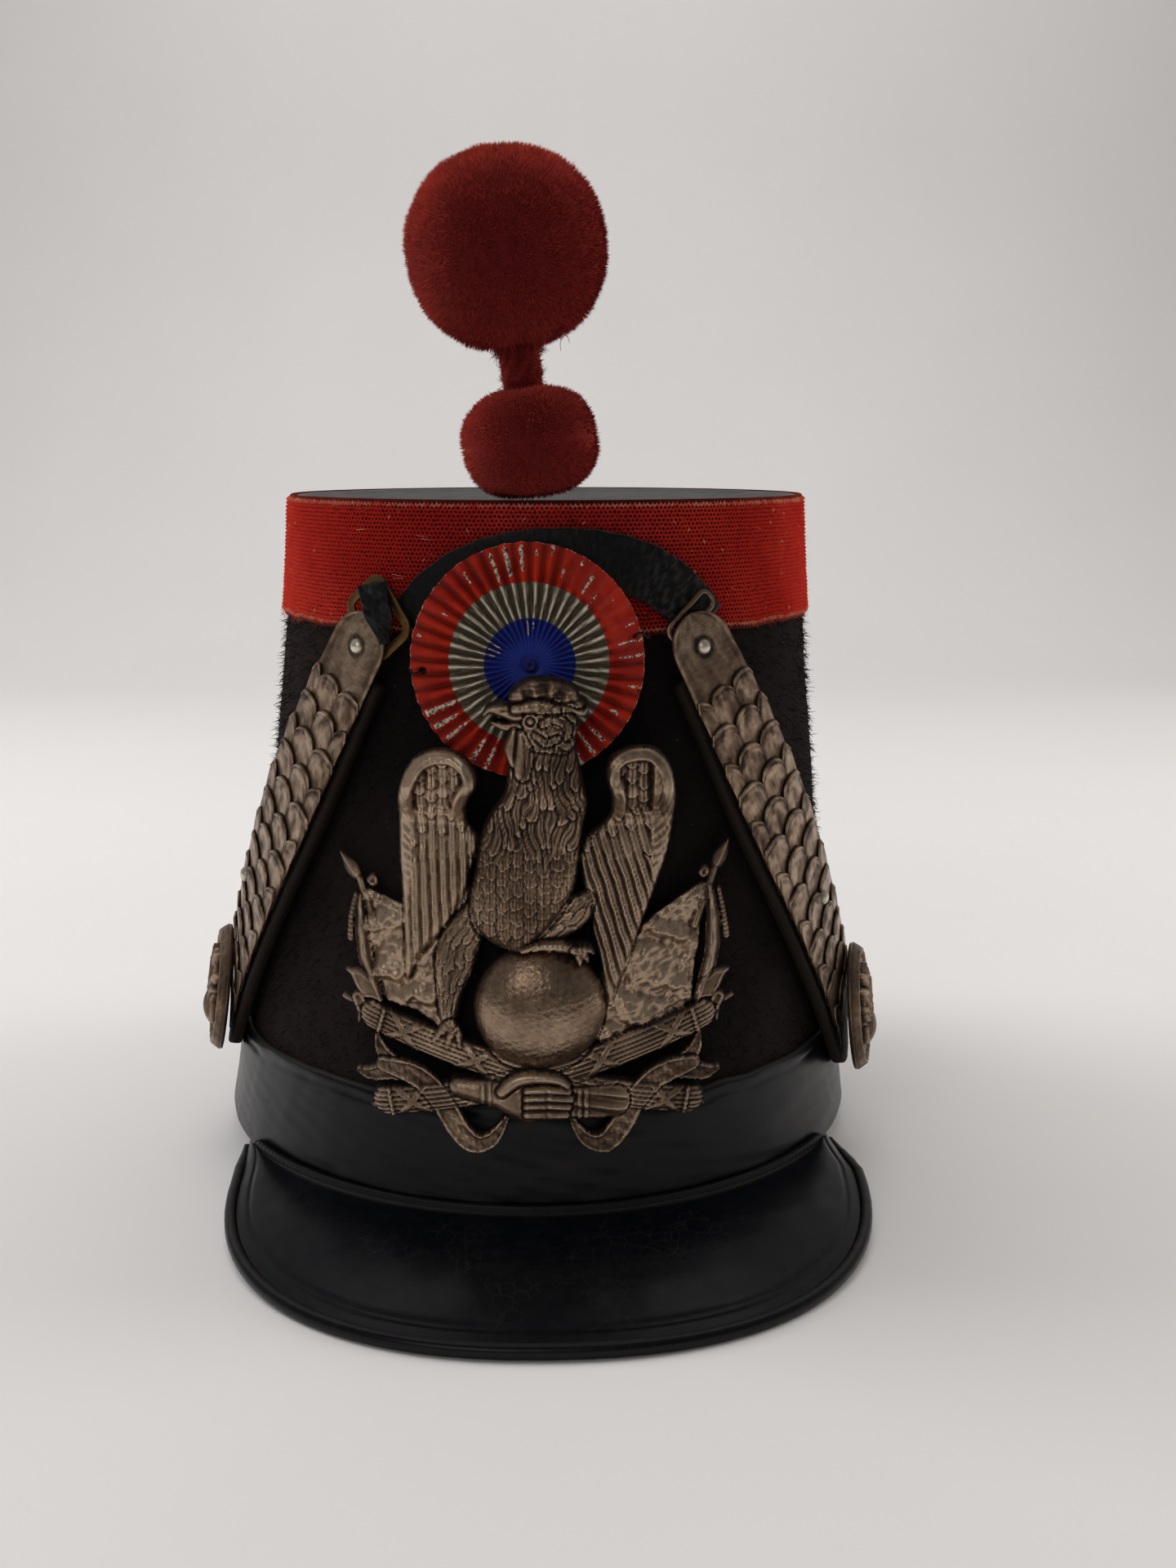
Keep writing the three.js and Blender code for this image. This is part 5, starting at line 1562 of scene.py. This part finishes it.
# %% Hollows of the badge
def blurred(values, weight, passes):
    for _ in range(passes):
        total, count = values * weight, weight.copy()
        for axis in (0, 1):
            for step in (-1, 1):
                total = total + np.roll(values * weight, step, axis)
                count = count + np.roll(weight, step, axis)
        values = total / maximum(count, 1e-6)
    return values


solid = field.inside > 0
weight = solid.astype(float)
height = np.where(solid, field.height, 0.0)
near = blurred(height, weight, 4)
wide = blurred(height, weight, 26)
hollow = 0.4 + field.tone + near - height + 0.2 * (wide - height)
hollow = np.where(solid, hollow, 0.5)
print("hollow", hollow[solid].min().round(2), "to", hollow[solid].max().round(2))

# %% [markdown]
# The height field becomes a mesh where the forms are. Points near an outline are pulled onto it, so that it is smooth,
# and an edge turned back to the wall closes the side. The globe is marked as polished.

# %% Badge mesh
# Heights just outside an outline are taken from inside it, for the points that are pulled onto it.
spread = height.copy()
for _ in range(3):
    grown = blurred(spread, weight, 1)
    reached = (weight == 0) & (sum(np.roll(weight, s, a) for a in (0, 1) for s in (-1, 1)) > 0)
    spread = np.where(reached, grown, spread)
    hollow = np.where(reached, blurred(hollow, weight, 1), hollow)
    weight = np.where(reached, 1.0, weight)

cell = field.cell
gx, gy = np.gradient(field.inside, cell)
steep = maximum(hypot(gx, gy), 0.3)
close = np.abs(field.inside) < 0.75 * cell
pull = np.where(close, -field.inside / steep, 0.0)
px, py = field.x + pull * gx / steep, field.y + pull * gy / steep
keep = field.inside > -0.75 * cell
cells_kept = keep[:-1, :-1] & keep[1:, :-1] & keep[1:, 1:] & keep[:-1, 1:]
rows, columns = field.x.shape
number = np.arange(rows * columns).reshape(rows, columns)
quads = stack([number[:-1, :-1], number[1:, :-1], number[1:, 1:], number[:-1, 1:]], -1)[cells_kept]
# The edge: each border side of a kept cell is carried back to the wall.
sides = concatenate([quads[:, [0, 1]], quads[:, [1, 2]], quads[:, [2, 3]], quads[:, [3, 0]]])
forward = {tuple(s) for s in sides.tolist()}
border = array([s for s in forward if (s[1], s[0]) not in forward])
front = badge_point(px.ravel(), py.ravel(), maximum(spread, 0.35).ravel())
back = badge_point(px.ravel(), py.ravel(), np.zeros(px.size))
used = np.unique(quads)
index = np.full(px.size, -1)
index[used] = np.arange(len(used))
rim_points = np.unique(border)
rim_index = np.full(px.size, -1)
rim_index[rim_points] = len(used) + np.arange(len(rim_points))
points = concatenate([front[used], back[rim_points]])
skirt = stack([index[border[:, 1]], index[border[:, 0]], rim_index[border[:, 0]], rim_index[border[:, 1]]], 1)
shade = np.zeros((len(points), 3))
shade[: len(used), 0] = hollow.ravel()[used]
polished = (hypot((field.x - globe_x) / 1.04, field.y - globe_y) < globe_r - 0.6) & (field.y > -34)
shade[: len(used), 1] = polished.ravel()[used]
shade[len(used):, 0] = 0.9
badge = mesh_object("badge_relief", points, concatenate([index[quads], skirt]), (), shade)
finish(badge, "tarnished_silver", SILVER, "badge")

# %% [markdown]
# ## Chin straps
# The two straps are fastened up over the front. Each is thick brown leather with rows of overlapping metal scales. A
# plain rounded plate with a rivet ends it at the top, and a round boss covers its lower end. The line of a strap runs
# straight over the unrolled wall.

# %% Strap line
STRAPS = {
    "left": dict(top=(-32.4, 0.16), boss=(-75.5, 0.79), yaw=0.0, rivet=5.4),
    "right": dict(top=(24.9, 0.157), boss=(68.5, 0.81), yaw=3.0, rivet=-1.8),
}


def strap_placer(strap):
    """place(along, across, out) for a strap, and its length from the upper end to the middle of the boss."""
    t = linspace(0, 1.3, 400)
    turns = np.radians(mix(strap["top"][0], strap["boss"][0], t))
    drops = mix(strap["top"][1], strap["boss"][1], t)
    line = wall(turns, drops)
    run = concatenate([[0], np.cumsum(np.linalg.norm(np.diff(line, axis=0), axis=1))])
    normals = wall_normal(turns, drops)
    ahead = unit(np.gradient(line, axis=0))
    sideways = unit(np.cross(ahead, normals))

    def place(along, across, out):
        along, across, out = together(along, across, out)
        pick = lambda table: stack([np.interp(along, run, table[:, k]) for k in range(3)], -1)
        return pick(line) + pick(sideways) * across[..., None] + pick(normals) * out[..., None]

    return place, float(np.interp(1.0, t, run))


def strap_half(along):
    return mix(8.0, 12.0, ease(along, 0, 62))


def round_end(distance, half):
    inside = clip(distance / half, 0.0, 1)
    return half * sqrt(clip(1 - (1 - inside) ** 2, 0.02, 1))


print({side: round(strap_placer(s)[1], 1) for side, s in STRAPS.items()})

# %% [markdown]
# A row of scales is one stamped plate with two and a half lobes, set half a lobe over in every other row. Its free
# edge points up the strap, has a raised rim, and lies over the row above. The rivets are low domes, rubbed bright.

# %% Scales and rivets
ROWS, FIRST_ROOT, PITCH, LENGTH = 13, 31.0, 7.8, 13.5
LOBES = 2.5
ROOT, THICK = 5.7, 0.5  # how far a row's root is off the wall, and its metal
SLOPE = (THICK + 0.22) / PITCH


def scale_row(heap, place, row):
    root = FIRST_ROOT + row * PITCH
    half = strap_half(root - LENGTH / 2)
    u = linspace(0, 1, 61)[:, None]
    v = concatenate([linspace(0, 0.7, 6), linspace(0.76, 1, 9)])[None, :]
    in_lobe = ((u * LOBES + (0.5 if row % 2 else 0.0)) % 1) * 2 - 1
    from_side = minimum(u, 1 - u)
    cut = (1 - sqrt(clip(1 - in_lobe ** 2, 0, 1))) * (2 * half / LOBES) * 0.4 * ease(from_side, -0.02, 0.12)
    cut = cut + 2.2 * (1 - ease(from_side, 0, 0.05))  # the scalloped edge, and its rounded corners
    reach = v * (LENGTH - cut)
    from_edge = (LENGTH - cut) * (1 - v)
    crown = 0.2 * (1 - in_lobe ** 2) ** 0.7 * sin(pi * clip(v, 0, 1) * 0.78) * ease(v, 0.1, 0.7)
    rim = 0.2 * ridge(from_edge - 0.45, 0.26)
    valley = -0.12 * ridge(np.abs(in_lobe) - 1, 0.1) * ease(v, 0.3, 0.8)
    roll = 1 - 0.6 * (from_edge < 0.25)
    low = ROOT + SLOPE * reach * mix(0.4, 1, ease(from_side, 0, 0.2))
    top = place(root - reach, mix(-half, half, u) + 0 * reach, low + (THICK + crown + rim) * roll + valley)
    under = place(root - reach, mix(-half, half, u) + 0 * reach, low + crown * 0.6)[:, ::3]
    hollow = 0.36 - 0.8 * rim - 0.2 * crown + 0.16 * ridge(np.abs(in_lobe) - 1, 0.12) + 0.2 * ease(0.5 - v, 0, 0.4)
    hollow = hollow + 0.2 * ridge(from_edge - 1.3, 0.4)
    hollow = hollow + 0.24 * wobble(u * 25 + row * 9, v * 14, pitch=5, seed=row)
    shade = tint(reach, red=hollow)
    heap.tube(concatenate([top, under[:, ::-1]], 1), colour=concatenate([shade, shade[:, ::3][:, ::-1]], 1))


def rivet(heap, place, along, across, out, radius=1.9, tall=1.25):
    middle = place(along, across, out)
    normal = unit(place(along, across, out + 1) - middle)
    helper = unit(np.cross(normal, [0.0, 0, 1.0]))
    other = np.cross(normal, helper)
    angle = turns_of(28)[None, :, None]
    share = array([0.05, 0.35, 0.6, 0.8, 0.93, 1.0, 1.0])[:, None, None]
    level = array([1.0, 0.94, 0.8, 0.58, 0.34, 0.1, 0.0])[:, None, None] * tall
    sections = middle + normal * level + (helper * cos(angle) + other * sin(angle)) * share * radius
    heap.tube(sections, colour=tint(sections, red=0.5 * share[..., 0] ** 3))


print("a scale row is", LENGTH, "long and rises", round(SLOPE * LENGTH, 2))

# %% [markdown]
# Each strap is laid from its round upper end down to the round end under the boss, with the leather a little wider
# than the scales. The upper rivet is in the plate, the lower one holds a row further down.

# %% The two straps
def round_stations(straight, far, length, count, first):
    """Stations along a strap with a round end at length, straight as far as far."""
    rest = length - far
    return concatenate([straight, length - rest * (1 - sin(linspace(first, 1, count) * pi / 2))])


def plate_tone(a, s):
    tone = 0.3 + 0.2 * ridge(np.abs(s) - 0.82, 0.08) + 0.14 * wobble(a, s * 8, pitch=4, seed=9)
    return tint(a, red=tone + 0.5 * ridge(hypot(a - UPPER_RIVET, s * strap_half(a)) - 2.2, 0.5))


OVERHANG = 1.4
PLATE_END, UPPER_RIVET = FIRST_ROOT - PITCH, 8.0
LOWER_RIVET = FIRST_ROOT + 8 * PITCH - LENGTH + 3.6
for side, strap in STRAPS.items():
    place, reach = strap_placer(strap)
    length = reach + 16
    stations = round_stations(linspace(13, length - 12, 90), length - 12, length, 22, 0.03)
    backing = slab(f"{side}_strap_leather", place, stations,
                   lambda a: float(round_end(length - a, strap_half(a) + OVERHANG)), 2.1, 5.2, edge=0.35, across=22,
                   detail=lambda a, s: 0.12 * wobble(a, s * 12, pitch=4.5, seed=6), ends=0,
                   colour=lambda a, s: tint(a, green=0.04 + 0.12 * (np.abs(s) > 0.97)))
    finish(backing, "black_leather", STRAP, f"{side}_strap_backing")

    heap = Heap()
    for row in range(ROWS):
        scale_row(heap, place, row)
    finish(heap.make(f"{side}_strap_scales"), "tarnished_silver", SILVER,
           *[f"{side}_scale_{row + 1:02d}" for row in range(ROWS)])

    stations = PLATE_END - round_stations(linspace(0, PLATE_END - 7, 30), PLATE_END - 7, PLATE_END, 18, 0.05)
    plate = slab(f"{side}_strap_end_plate", place, stations, lambda a: float(round_end(a, strap_half(a))), ROOT,
                 ROOT + 0.65, edge=0.4, across=33,
                 detail=lambda a, s: 0.25 * (1 - s ** 2) + 0.3 * ridge(np.abs(s) - 0.93, 0.05), ends=0,
                 colour=plate_tone)
    finish(plate, "tarnished_silver", SILVER, f"{side}_end_plate")

    heap = Heap()
    rivet(heap, place, UPPER_RIVET, 0.0, ROOT + 0.6, 1.8, 1.3)
    rivet(heap, place, LOWER_RIVET, strap["rivet"], ROOT + SLOPE * LENGTH + 1.0)
    rivets = heap.make(f"{side}_strap_rivets")
    finish(rivets, "tarnished_silver", RUBBED, f"{side}_upper_rivet", f"{side}_lower_rivet")

# %% [markdown]
# ## Bosses
# The strap ends carry cast bosses, 33 mm across: a raised rim, a sunk ground, and on it a round shell under a burst
# of flames.

# %% Bosses
BOSS_RADIUS = 16.5


def boss_height(x, y):
    radius = hypot(x, y)
    ground = 1.2 + 0.7 * (1 - (radius / BOSS_RADIUS) ** 2) + 0.12 * wobble(x, y, pitch=2.4, seed=121)
    rim = 1.25 * ridge(radius - 14.6, 0.9) + 0.35 * ridge(radius - 12.6, 0.35)
    ball_r = hypot(x, y + 5)
    ball = 0.6 + 4.6 * sqrt(clip(1 - (ball_r / 5.8) ** 2, 0, 1))
    band_ = 0.35 * ridge(ball_r - 4.9, 0.3)
    flames = np.zeros_like(x)
    for lean, long in ((-52, 9.5), (-30, 13.0), (-10, 15.0), (10, 15.0), (31, 12.6), (54, 9.0)):
        turn = math.radians(lean)
        along = (x * math.sin(turn) + (y + 4) * math.cos(turn)) / long
        across = (x * math.cos(turn) - (y + 4) * math.sin(turn)) + 0.9 * sin(along * 5.5 + lean)
        half = 2.3 * sin(pi * clip(along, 0.05, 1) ** 0.75) + 0.2
        tongue = 2.3 * sqrt(clip(1 - (across / half) ** 2, 0, 1)) * ((along > 0) & (along < 1))
        flames = maximum(flames, tongue + 0.3 * sin(across * 5) * (tongue > 0.8))
    height = maximum(ground + rim, maximum(ground + flames, ball * (ball_r < 5.8) + band_))
    return height * (1 - ease(radius, BOSS_RADIUS - 0.8, BOSS_RADIUS) * 0.75)


for side, strap in STRAPS.items():
    origin, right, up, normal = wall_frame(math.radians(strap["boss"][0]), strap["boss"][1], 7.9)
    yaw = math.radians(strap["yaw"])
    right, normal = right * math.cos(yaw) - normal * math.sin(yaw), normal * math.cos(yaw) + right * math.sin(yaw)
    origin = origin + normal * BOSS_RADIUS * math.sin(yaw)
    angle = turns_of(150)[None, :]
    radius = concatenate([linspace(0.1, 16.2, 54), [16.4, BOSS_RADIUS, BOSS_RADIUS, 16.3, 8, 0.2]])[:, None]
    x, y = radius * cos(angle), radius * sin(angle)
    top = maximum(boss_height(x, y), 0.4)
    top[-4:] = array([0.35, -0.5, -0.5, -0.3])[:, None]  # the edge and the back
    points = origin + right * x[..., None] + up * y[..., None] + normal * top[..., None]
    around = (np.roll(top, 4, 1) + np.roll(top, -4, 1) + np.roll(top, 2, 0) + np.roll(top, -2, 0)) / 4
    boss = tube(f"{side}_boss", points, colour=tint(top, red=0.45 + 0.6 * (around - top)))
    finish(boss, "tarnished_silver", SILVER, f"{side}_rosette")

# %% [markdown]
# ## Arched strap and its fasteners
# A narrow strap of dry, cracked leather arches over the cockade. At the viewer's left its tip comes out of a buckle
# and hangs over the chin strap. Deep cracks run over it, and grey flakes have worn at the viewer's right end.

# %% Arched strap
def arch_line(angle):
    """The middle line of the strap, with the way out of the wall, at degrees to the side of the cap's front."""
    turn, drop = np.radians(angle + 2.0), 0.074 + 7e-5 * angle ** 2 + 7e-8 * angle ** 4
    return wall(turn, drop), wall_normal(turn, drop)


def arch_place(angle, across, out):
    middle, normal = arch_line(angle)
    along = unit(arch_line(angle + 0.5)[0] - arch_line(angle - 0.5)[0])
    sideways = unit(np.cross(normal, along))
    return middle + normal * np.asarray(out)[..., None] + sideways * np.asarray(across)[..., None]


def cracks(angle, share):
    deep = np.abs(wobble(angle * 1.4, share * 4.5, pitch=3.4, seed=131, layers=4))
    return -0.28 * ridge(deep, 0.06) + 0.1 * wobble(angle, share * 6, pitch=7, seed=132)


def crackle(angle, share):
    """Flakes that have worn grey, most of them at the viewer's right end."""
    flakes = wobble(angle * 2.2, share * 5, pitch=3.0, seed=133, layers=4)
    return 0.5 * ease(flakes, 0.1, 0.3) * (0.1 + 0.9 * ease(angle, 10, 22))


# Painted shade: the deep cracks are darkened.
def arch_tone(angle, share):
    return tint(angle, 0.8 * (cracks(angle, share) < -0.16), 0.35 * (np.abs(share) > 0.955) + crackle(angle, share))


arch = slab("arch_strap_leather", arch_place, linspace(-28, 28, 230), lambda a: 6.3 + 0.12 * math.sin(a * 1.3),
            2.4, 4.0, edge=0.7, across=30, detail=cracks, colour=arch_tone)
finish(arch, "black_leather", DRY, "arch_strap")

TIP_FROM, TIP_TO = array([-38.2, 151.6]), array([-35.3, 138.4])
tip_length = float(np.linalg.norm(TIP_TO - TIP_FROM))


def tip_place(along, across, out):
    dx, dz = (TIP_TO - TIP_FROM) / tip_length
    return face(TIP_FROM[0] + along * dx - across * dz, TIP_FROM[1] + along * dz + across * dx, out)


tip = slab("arch_strap_tip", tip_place, linspace(0, tip_length, 26),
           lambda a: 3.5 - 2.2 * float(ease(a, 6.0, tip_length)), 6.3, 7.3, edge=0.5, across=20,
           detail=lambda a, s: 0.8 * wobble(a, s * 4, pitch=4.5, seed=141, layers=4))
finish(tip, "black_leather", DRY, "strap_tip")


# %% [markdown]
# The buckle is a rounded frame of flat brass round the upper end of the left strap, without a tongue. At the right a
# narrow wire loop holds the arched strap.

# %% Buckle and loop
def frame_path(width, height, corner, count=14):
    """A rounded rectangle, with the way out of it at each point."""
    points, outs = [], []
    for cx, cy, start in ((1, 1, 0), (-1, 1, 90), (-1, -1, 180), (1, -1, 270)):
        for a in np.radians(linspace(start, start + 90, count)):
            outs.append((math.cos(a), math.sin(a)))
            points.append((cx * (width / 2 - corner) + corner * outs[-1][0],
                           cy * (height / 2 - corner) + corner * outs[-1][1]))
    return array(points), array(outs)


def flat_loop(heap, x, z, out, width, height, bar, thick, corner, tilt):
    turn, drop = on_face(x, z, out)
    origin, right, up, normal = wall_frame(float(turn), float(drop), out)
    angle = math.radians(tilt)
    right, up = right * math.cos(angle) + up * math.sin(angle), up * math.cos(angle) - right * math.sin(angle)
    path, outs = frame_path(width - bar, height - bar, corner)
    around = turns_of(12)
    flat = np.sign(cos(around)) * np.abs(cos(around)) ** 0.6 * bar / 2
    tall = (np.sign(sin(around)) * np.abs(sin(around)) ** 0.7 + 1) * thick / 2
    place2 = path[:, None] + outs[:, None] * flat[None, :, None]
    points = origin + right * place2[..., :1] + up * place2[..., 1:] + normal * tall[None, :, None]
    heap.tube(points, closed=True, colour=tint(points, red=0.35 + 0.35 * (np.abs(sin(around)) < 0.4)))


heap = Heap()
flat_loop(heap, -36.5, 143.6, 4.3, 17.6, 13.2, 2.2, 1.1, 2.4, -50)
finish(heap.make("buckle_frame"), "dull_brass", BRASS, "buckle")
heap = Heap()
flat_loop(heap, 32.6, 144, 4.4, 15, 5.4, 1.1, 1.0, 1.6, 41)
finish(heap.make("wire_loop_round"), "tarnished_silver", SILVER, "wire_loop")

# %% [markdown]
# ## Pompoms
# Two balls of crimson wool plush stand on the crown, leaning a little. Each is a dense pile of short strands, cut to
# shape. They are laid on a soft core, evenly spread, with a little clumping. The roots, the core and the dips between
# clumps are painted darker as shade, and the tops and the viewer's left side paler as painted light.

# %% Plush balls
LEAN = math.radians(-6.8)
POMPOM_BASE = array([SHIFT_X - 1.2, -58.0, CROWN_Z + 0.5])
SMALL_BALL = (15.5, 25.0, 2.5, 0.0)  # half width, height, squareness, lower end
LARGE_BALL = (22.4, 44.0, 2.15, 31.8)


def stand(points):
    """Points above the crown, leaned to the side with the pompom."""
    x, y, z = points[..., 0], points[..., 1], points[..., 2]
    down, side = math.cos(LEAN), math.sin(LEAN)
    return POMPOM_BASE + stack([x * down + z * side, y, z * down - x * side], -1)


def ball_point(polar, azimuth, half_width, height, square, low):
    s, c = sin(polar), -cos(polar)
    radius = half_width * np.abs(s) ** (2 / square)
    level = np.sign(c) * np.abs(c) ** (2 / square)
    x, y, z = np.broadcast_arrays(radius * cos(azimuth), radius * sin(azimuth), low + height / 2 * (1 + level))
    return stack([x, y, z], -1)


def plush_ball(name, count, ball, pile, node):
    half_width, height, _, low = ball
    polar = linspace(0.04, pi - 0.04, 40)[:, None]
    azimuth = turns_of(72)[None, :]
    centre = array([0, 0, low + height / 2])
    core = ball_point(polar, azimuth, *ball)
    core = centre + (core - centre) * (1 - pile * 0.45 / half_width)
    # The core is coloured darker, as painted shade under the pile.
    finish(tube(f"{name}_core", stand(core), colour=tint(core, red=0.55)), "crimson_plush", PLUSH, node)
    # Even spread by the golden angle, then clumps.
    k = np.arange(count) + 0.5
    polar = np.arccos(1 - 2 * k / count)
    azimuth = k * pi * (1 + 5 ** 0.5) + RNG.normal(size=count) * 0.05
    tips = ball_point(polar, azimuth, *ball)
    clump = wobble(*tips.T, pitch=7, seed=151)
    away = unit(tips - centre)
    ragged = away * (RNG.uniform(-0.55, 0.1, (count, 1)) + 0.25 * clump[:, None])
    tips = tips + ragged + scatter(count, 0.16)
    roots = centre + (tips - centre) * (1 - pile / half_width) + scatter(count, 0.25)
    shade = np.zeros((count, 3))
    # Painted shade: strands are darker where the pile dips between clumps.
    shade[:, 0] = clip(0.12 - 0.3 * clump + RNG.normal(size=count) * 0.05, 0, 0.6)
    # The top and the tips on the viewer's left are painted paler, as painted light from above and from the left.
    fade_and_sheen = 0.5 * ease(away[:, 2], 0.1, 1.0) + 0.36 * ease(-away[:, 0] - 0.3 * away[:, 1], 0.5, 1.0)
    shade[:, 1] = clip(0.05 * RNG.normal(size=count) + 0.12 * clump + fade_and_sheen, 0, 0.6)
    pile_mesh = strands(f"{name}_pile", stand(roots), stand(tips), 0.33, scatter(count, 0.06), shade)
    # The roots of the strands are painted darker than their tips, as shade deep in the pile.
    layer = pile_mesh.data.color_attributes["shade"]
    rgba = np.empty(len(pile_mesh.data.vertices) * 4)
    layer.data.foreach_get("color", rgba)
    rgba = rgba.reshape(count, 5, 4)
    rgba[:, :2, 0] = clip(rgba[:, :2, 0] + 0.4, 0, 1)
    layer.data.foreach_set("color", rgba.ravel())
    finish(pile_mesh, "crimson_plush", PLUSH)


thin = 1
plush_ball("small_pompom", 22000 // thin, SMALL_BALL, 2.4, "small_pompom")
plush_ball("large_pompom", 46000 // thin, LARGE_BALL, 2.8, "large_pompom")

# %% [markdown]
# The neck between the balls is wound with yarn over a wire, and fuzzy. It flares into the big ball. A few short loose
# threads hang beside it.

# %% Neck and loose threads
t = linspace(0, 1, 420)
winding = 3.75 + 0.2 * sin(t * 90)
coil = stack([winding * cos(t * 44), winding * sin(t * 44), 25.6 + 5.8 * t], -1)
heap = Heap()
# Painted shade: the yarn and the core under it are darkened, where the neck lies between the two balls.
cord(heap, stand(coil), 0.62, colour=tint(np.zeros((420, 8)), red=0.45 + 0.3 * sin(t * 300)[:, None]))
angle = turns_of(24)[None, :]
level = array([24.1, 24.2, 30.6, 32.9, 33.0])[:, None]
radius = array([2.0, 4.3, 3.8, 5.4, 2.0])[:, None]
core = stack([radius * cos(angle), radius * sin(angle), level + 0 * angle], -1)
heap.tube(stand(core), colour=np.full((5, 24, 3), [0.6, 0, 0]))
finish(heap.make("pompom_neck_yarn"), "crimson_plush", PLUSH, "pompom_neck")
count = 1800
azimuth, level = RNG.uniform(0, 2 * pi, count), RNG.uniform(24.4, 32.6, count)
outward = stack([cos(azimuth), sin(azimuth), 0 * azimuth], -1)
roots = outward * (4.1 + 1.3 * ease(level, 30.6, 32.6))[:, None] + stack([0 * level, 0 * level, level], -1)
tips = roots + outward * RNG.uniform(0.2, 1.0, (count, 1)) + scatter(count, [0.6, 0.6, 0.9])
dark = tint(level, red=RNG.uniform(0.1, 0.9, count))
finish(strands("pompom_neck_fuzz", stand(roots), stand(tips), 0.14, colour=dark), "crimson_plush", PLUSH)

heap = Heap()
for k in range(12):
    azimuth = RNG.uniform(pi * 1.05, pi * 1.95)
    start = ball_point(array(RNG.uniform(0.2, 0.6)), array(azimuth), 22.0, *LARGE_BALL[1:])
    reach = RNG.uniform(1.2, 3.2)
    t = linspace(0, 1, 9)[:, None]
    sway = RNG.normal(size=3) * 0.9
    line = start + t * array([sway[0], sway[1] * 0.4 - 0.8, -reach]) + sin(t * 4) * sway * 0.25
    cord(heap, stand(line), linspace(0.09, 0.05, 9), 5)
finish(heap.make("pompom_loose_threads"), "crimson_plush", PLUSH)

# %% [markdown]
# ## Size of the finished cap
# The number of triangles of the finished cap is printed, with its largest piece.

# %% Sizes and finish
total = sum(PIECES.values())
print("triangles in all", total, "largest", max(PIECES.items(), key=lambda item: item[1]))
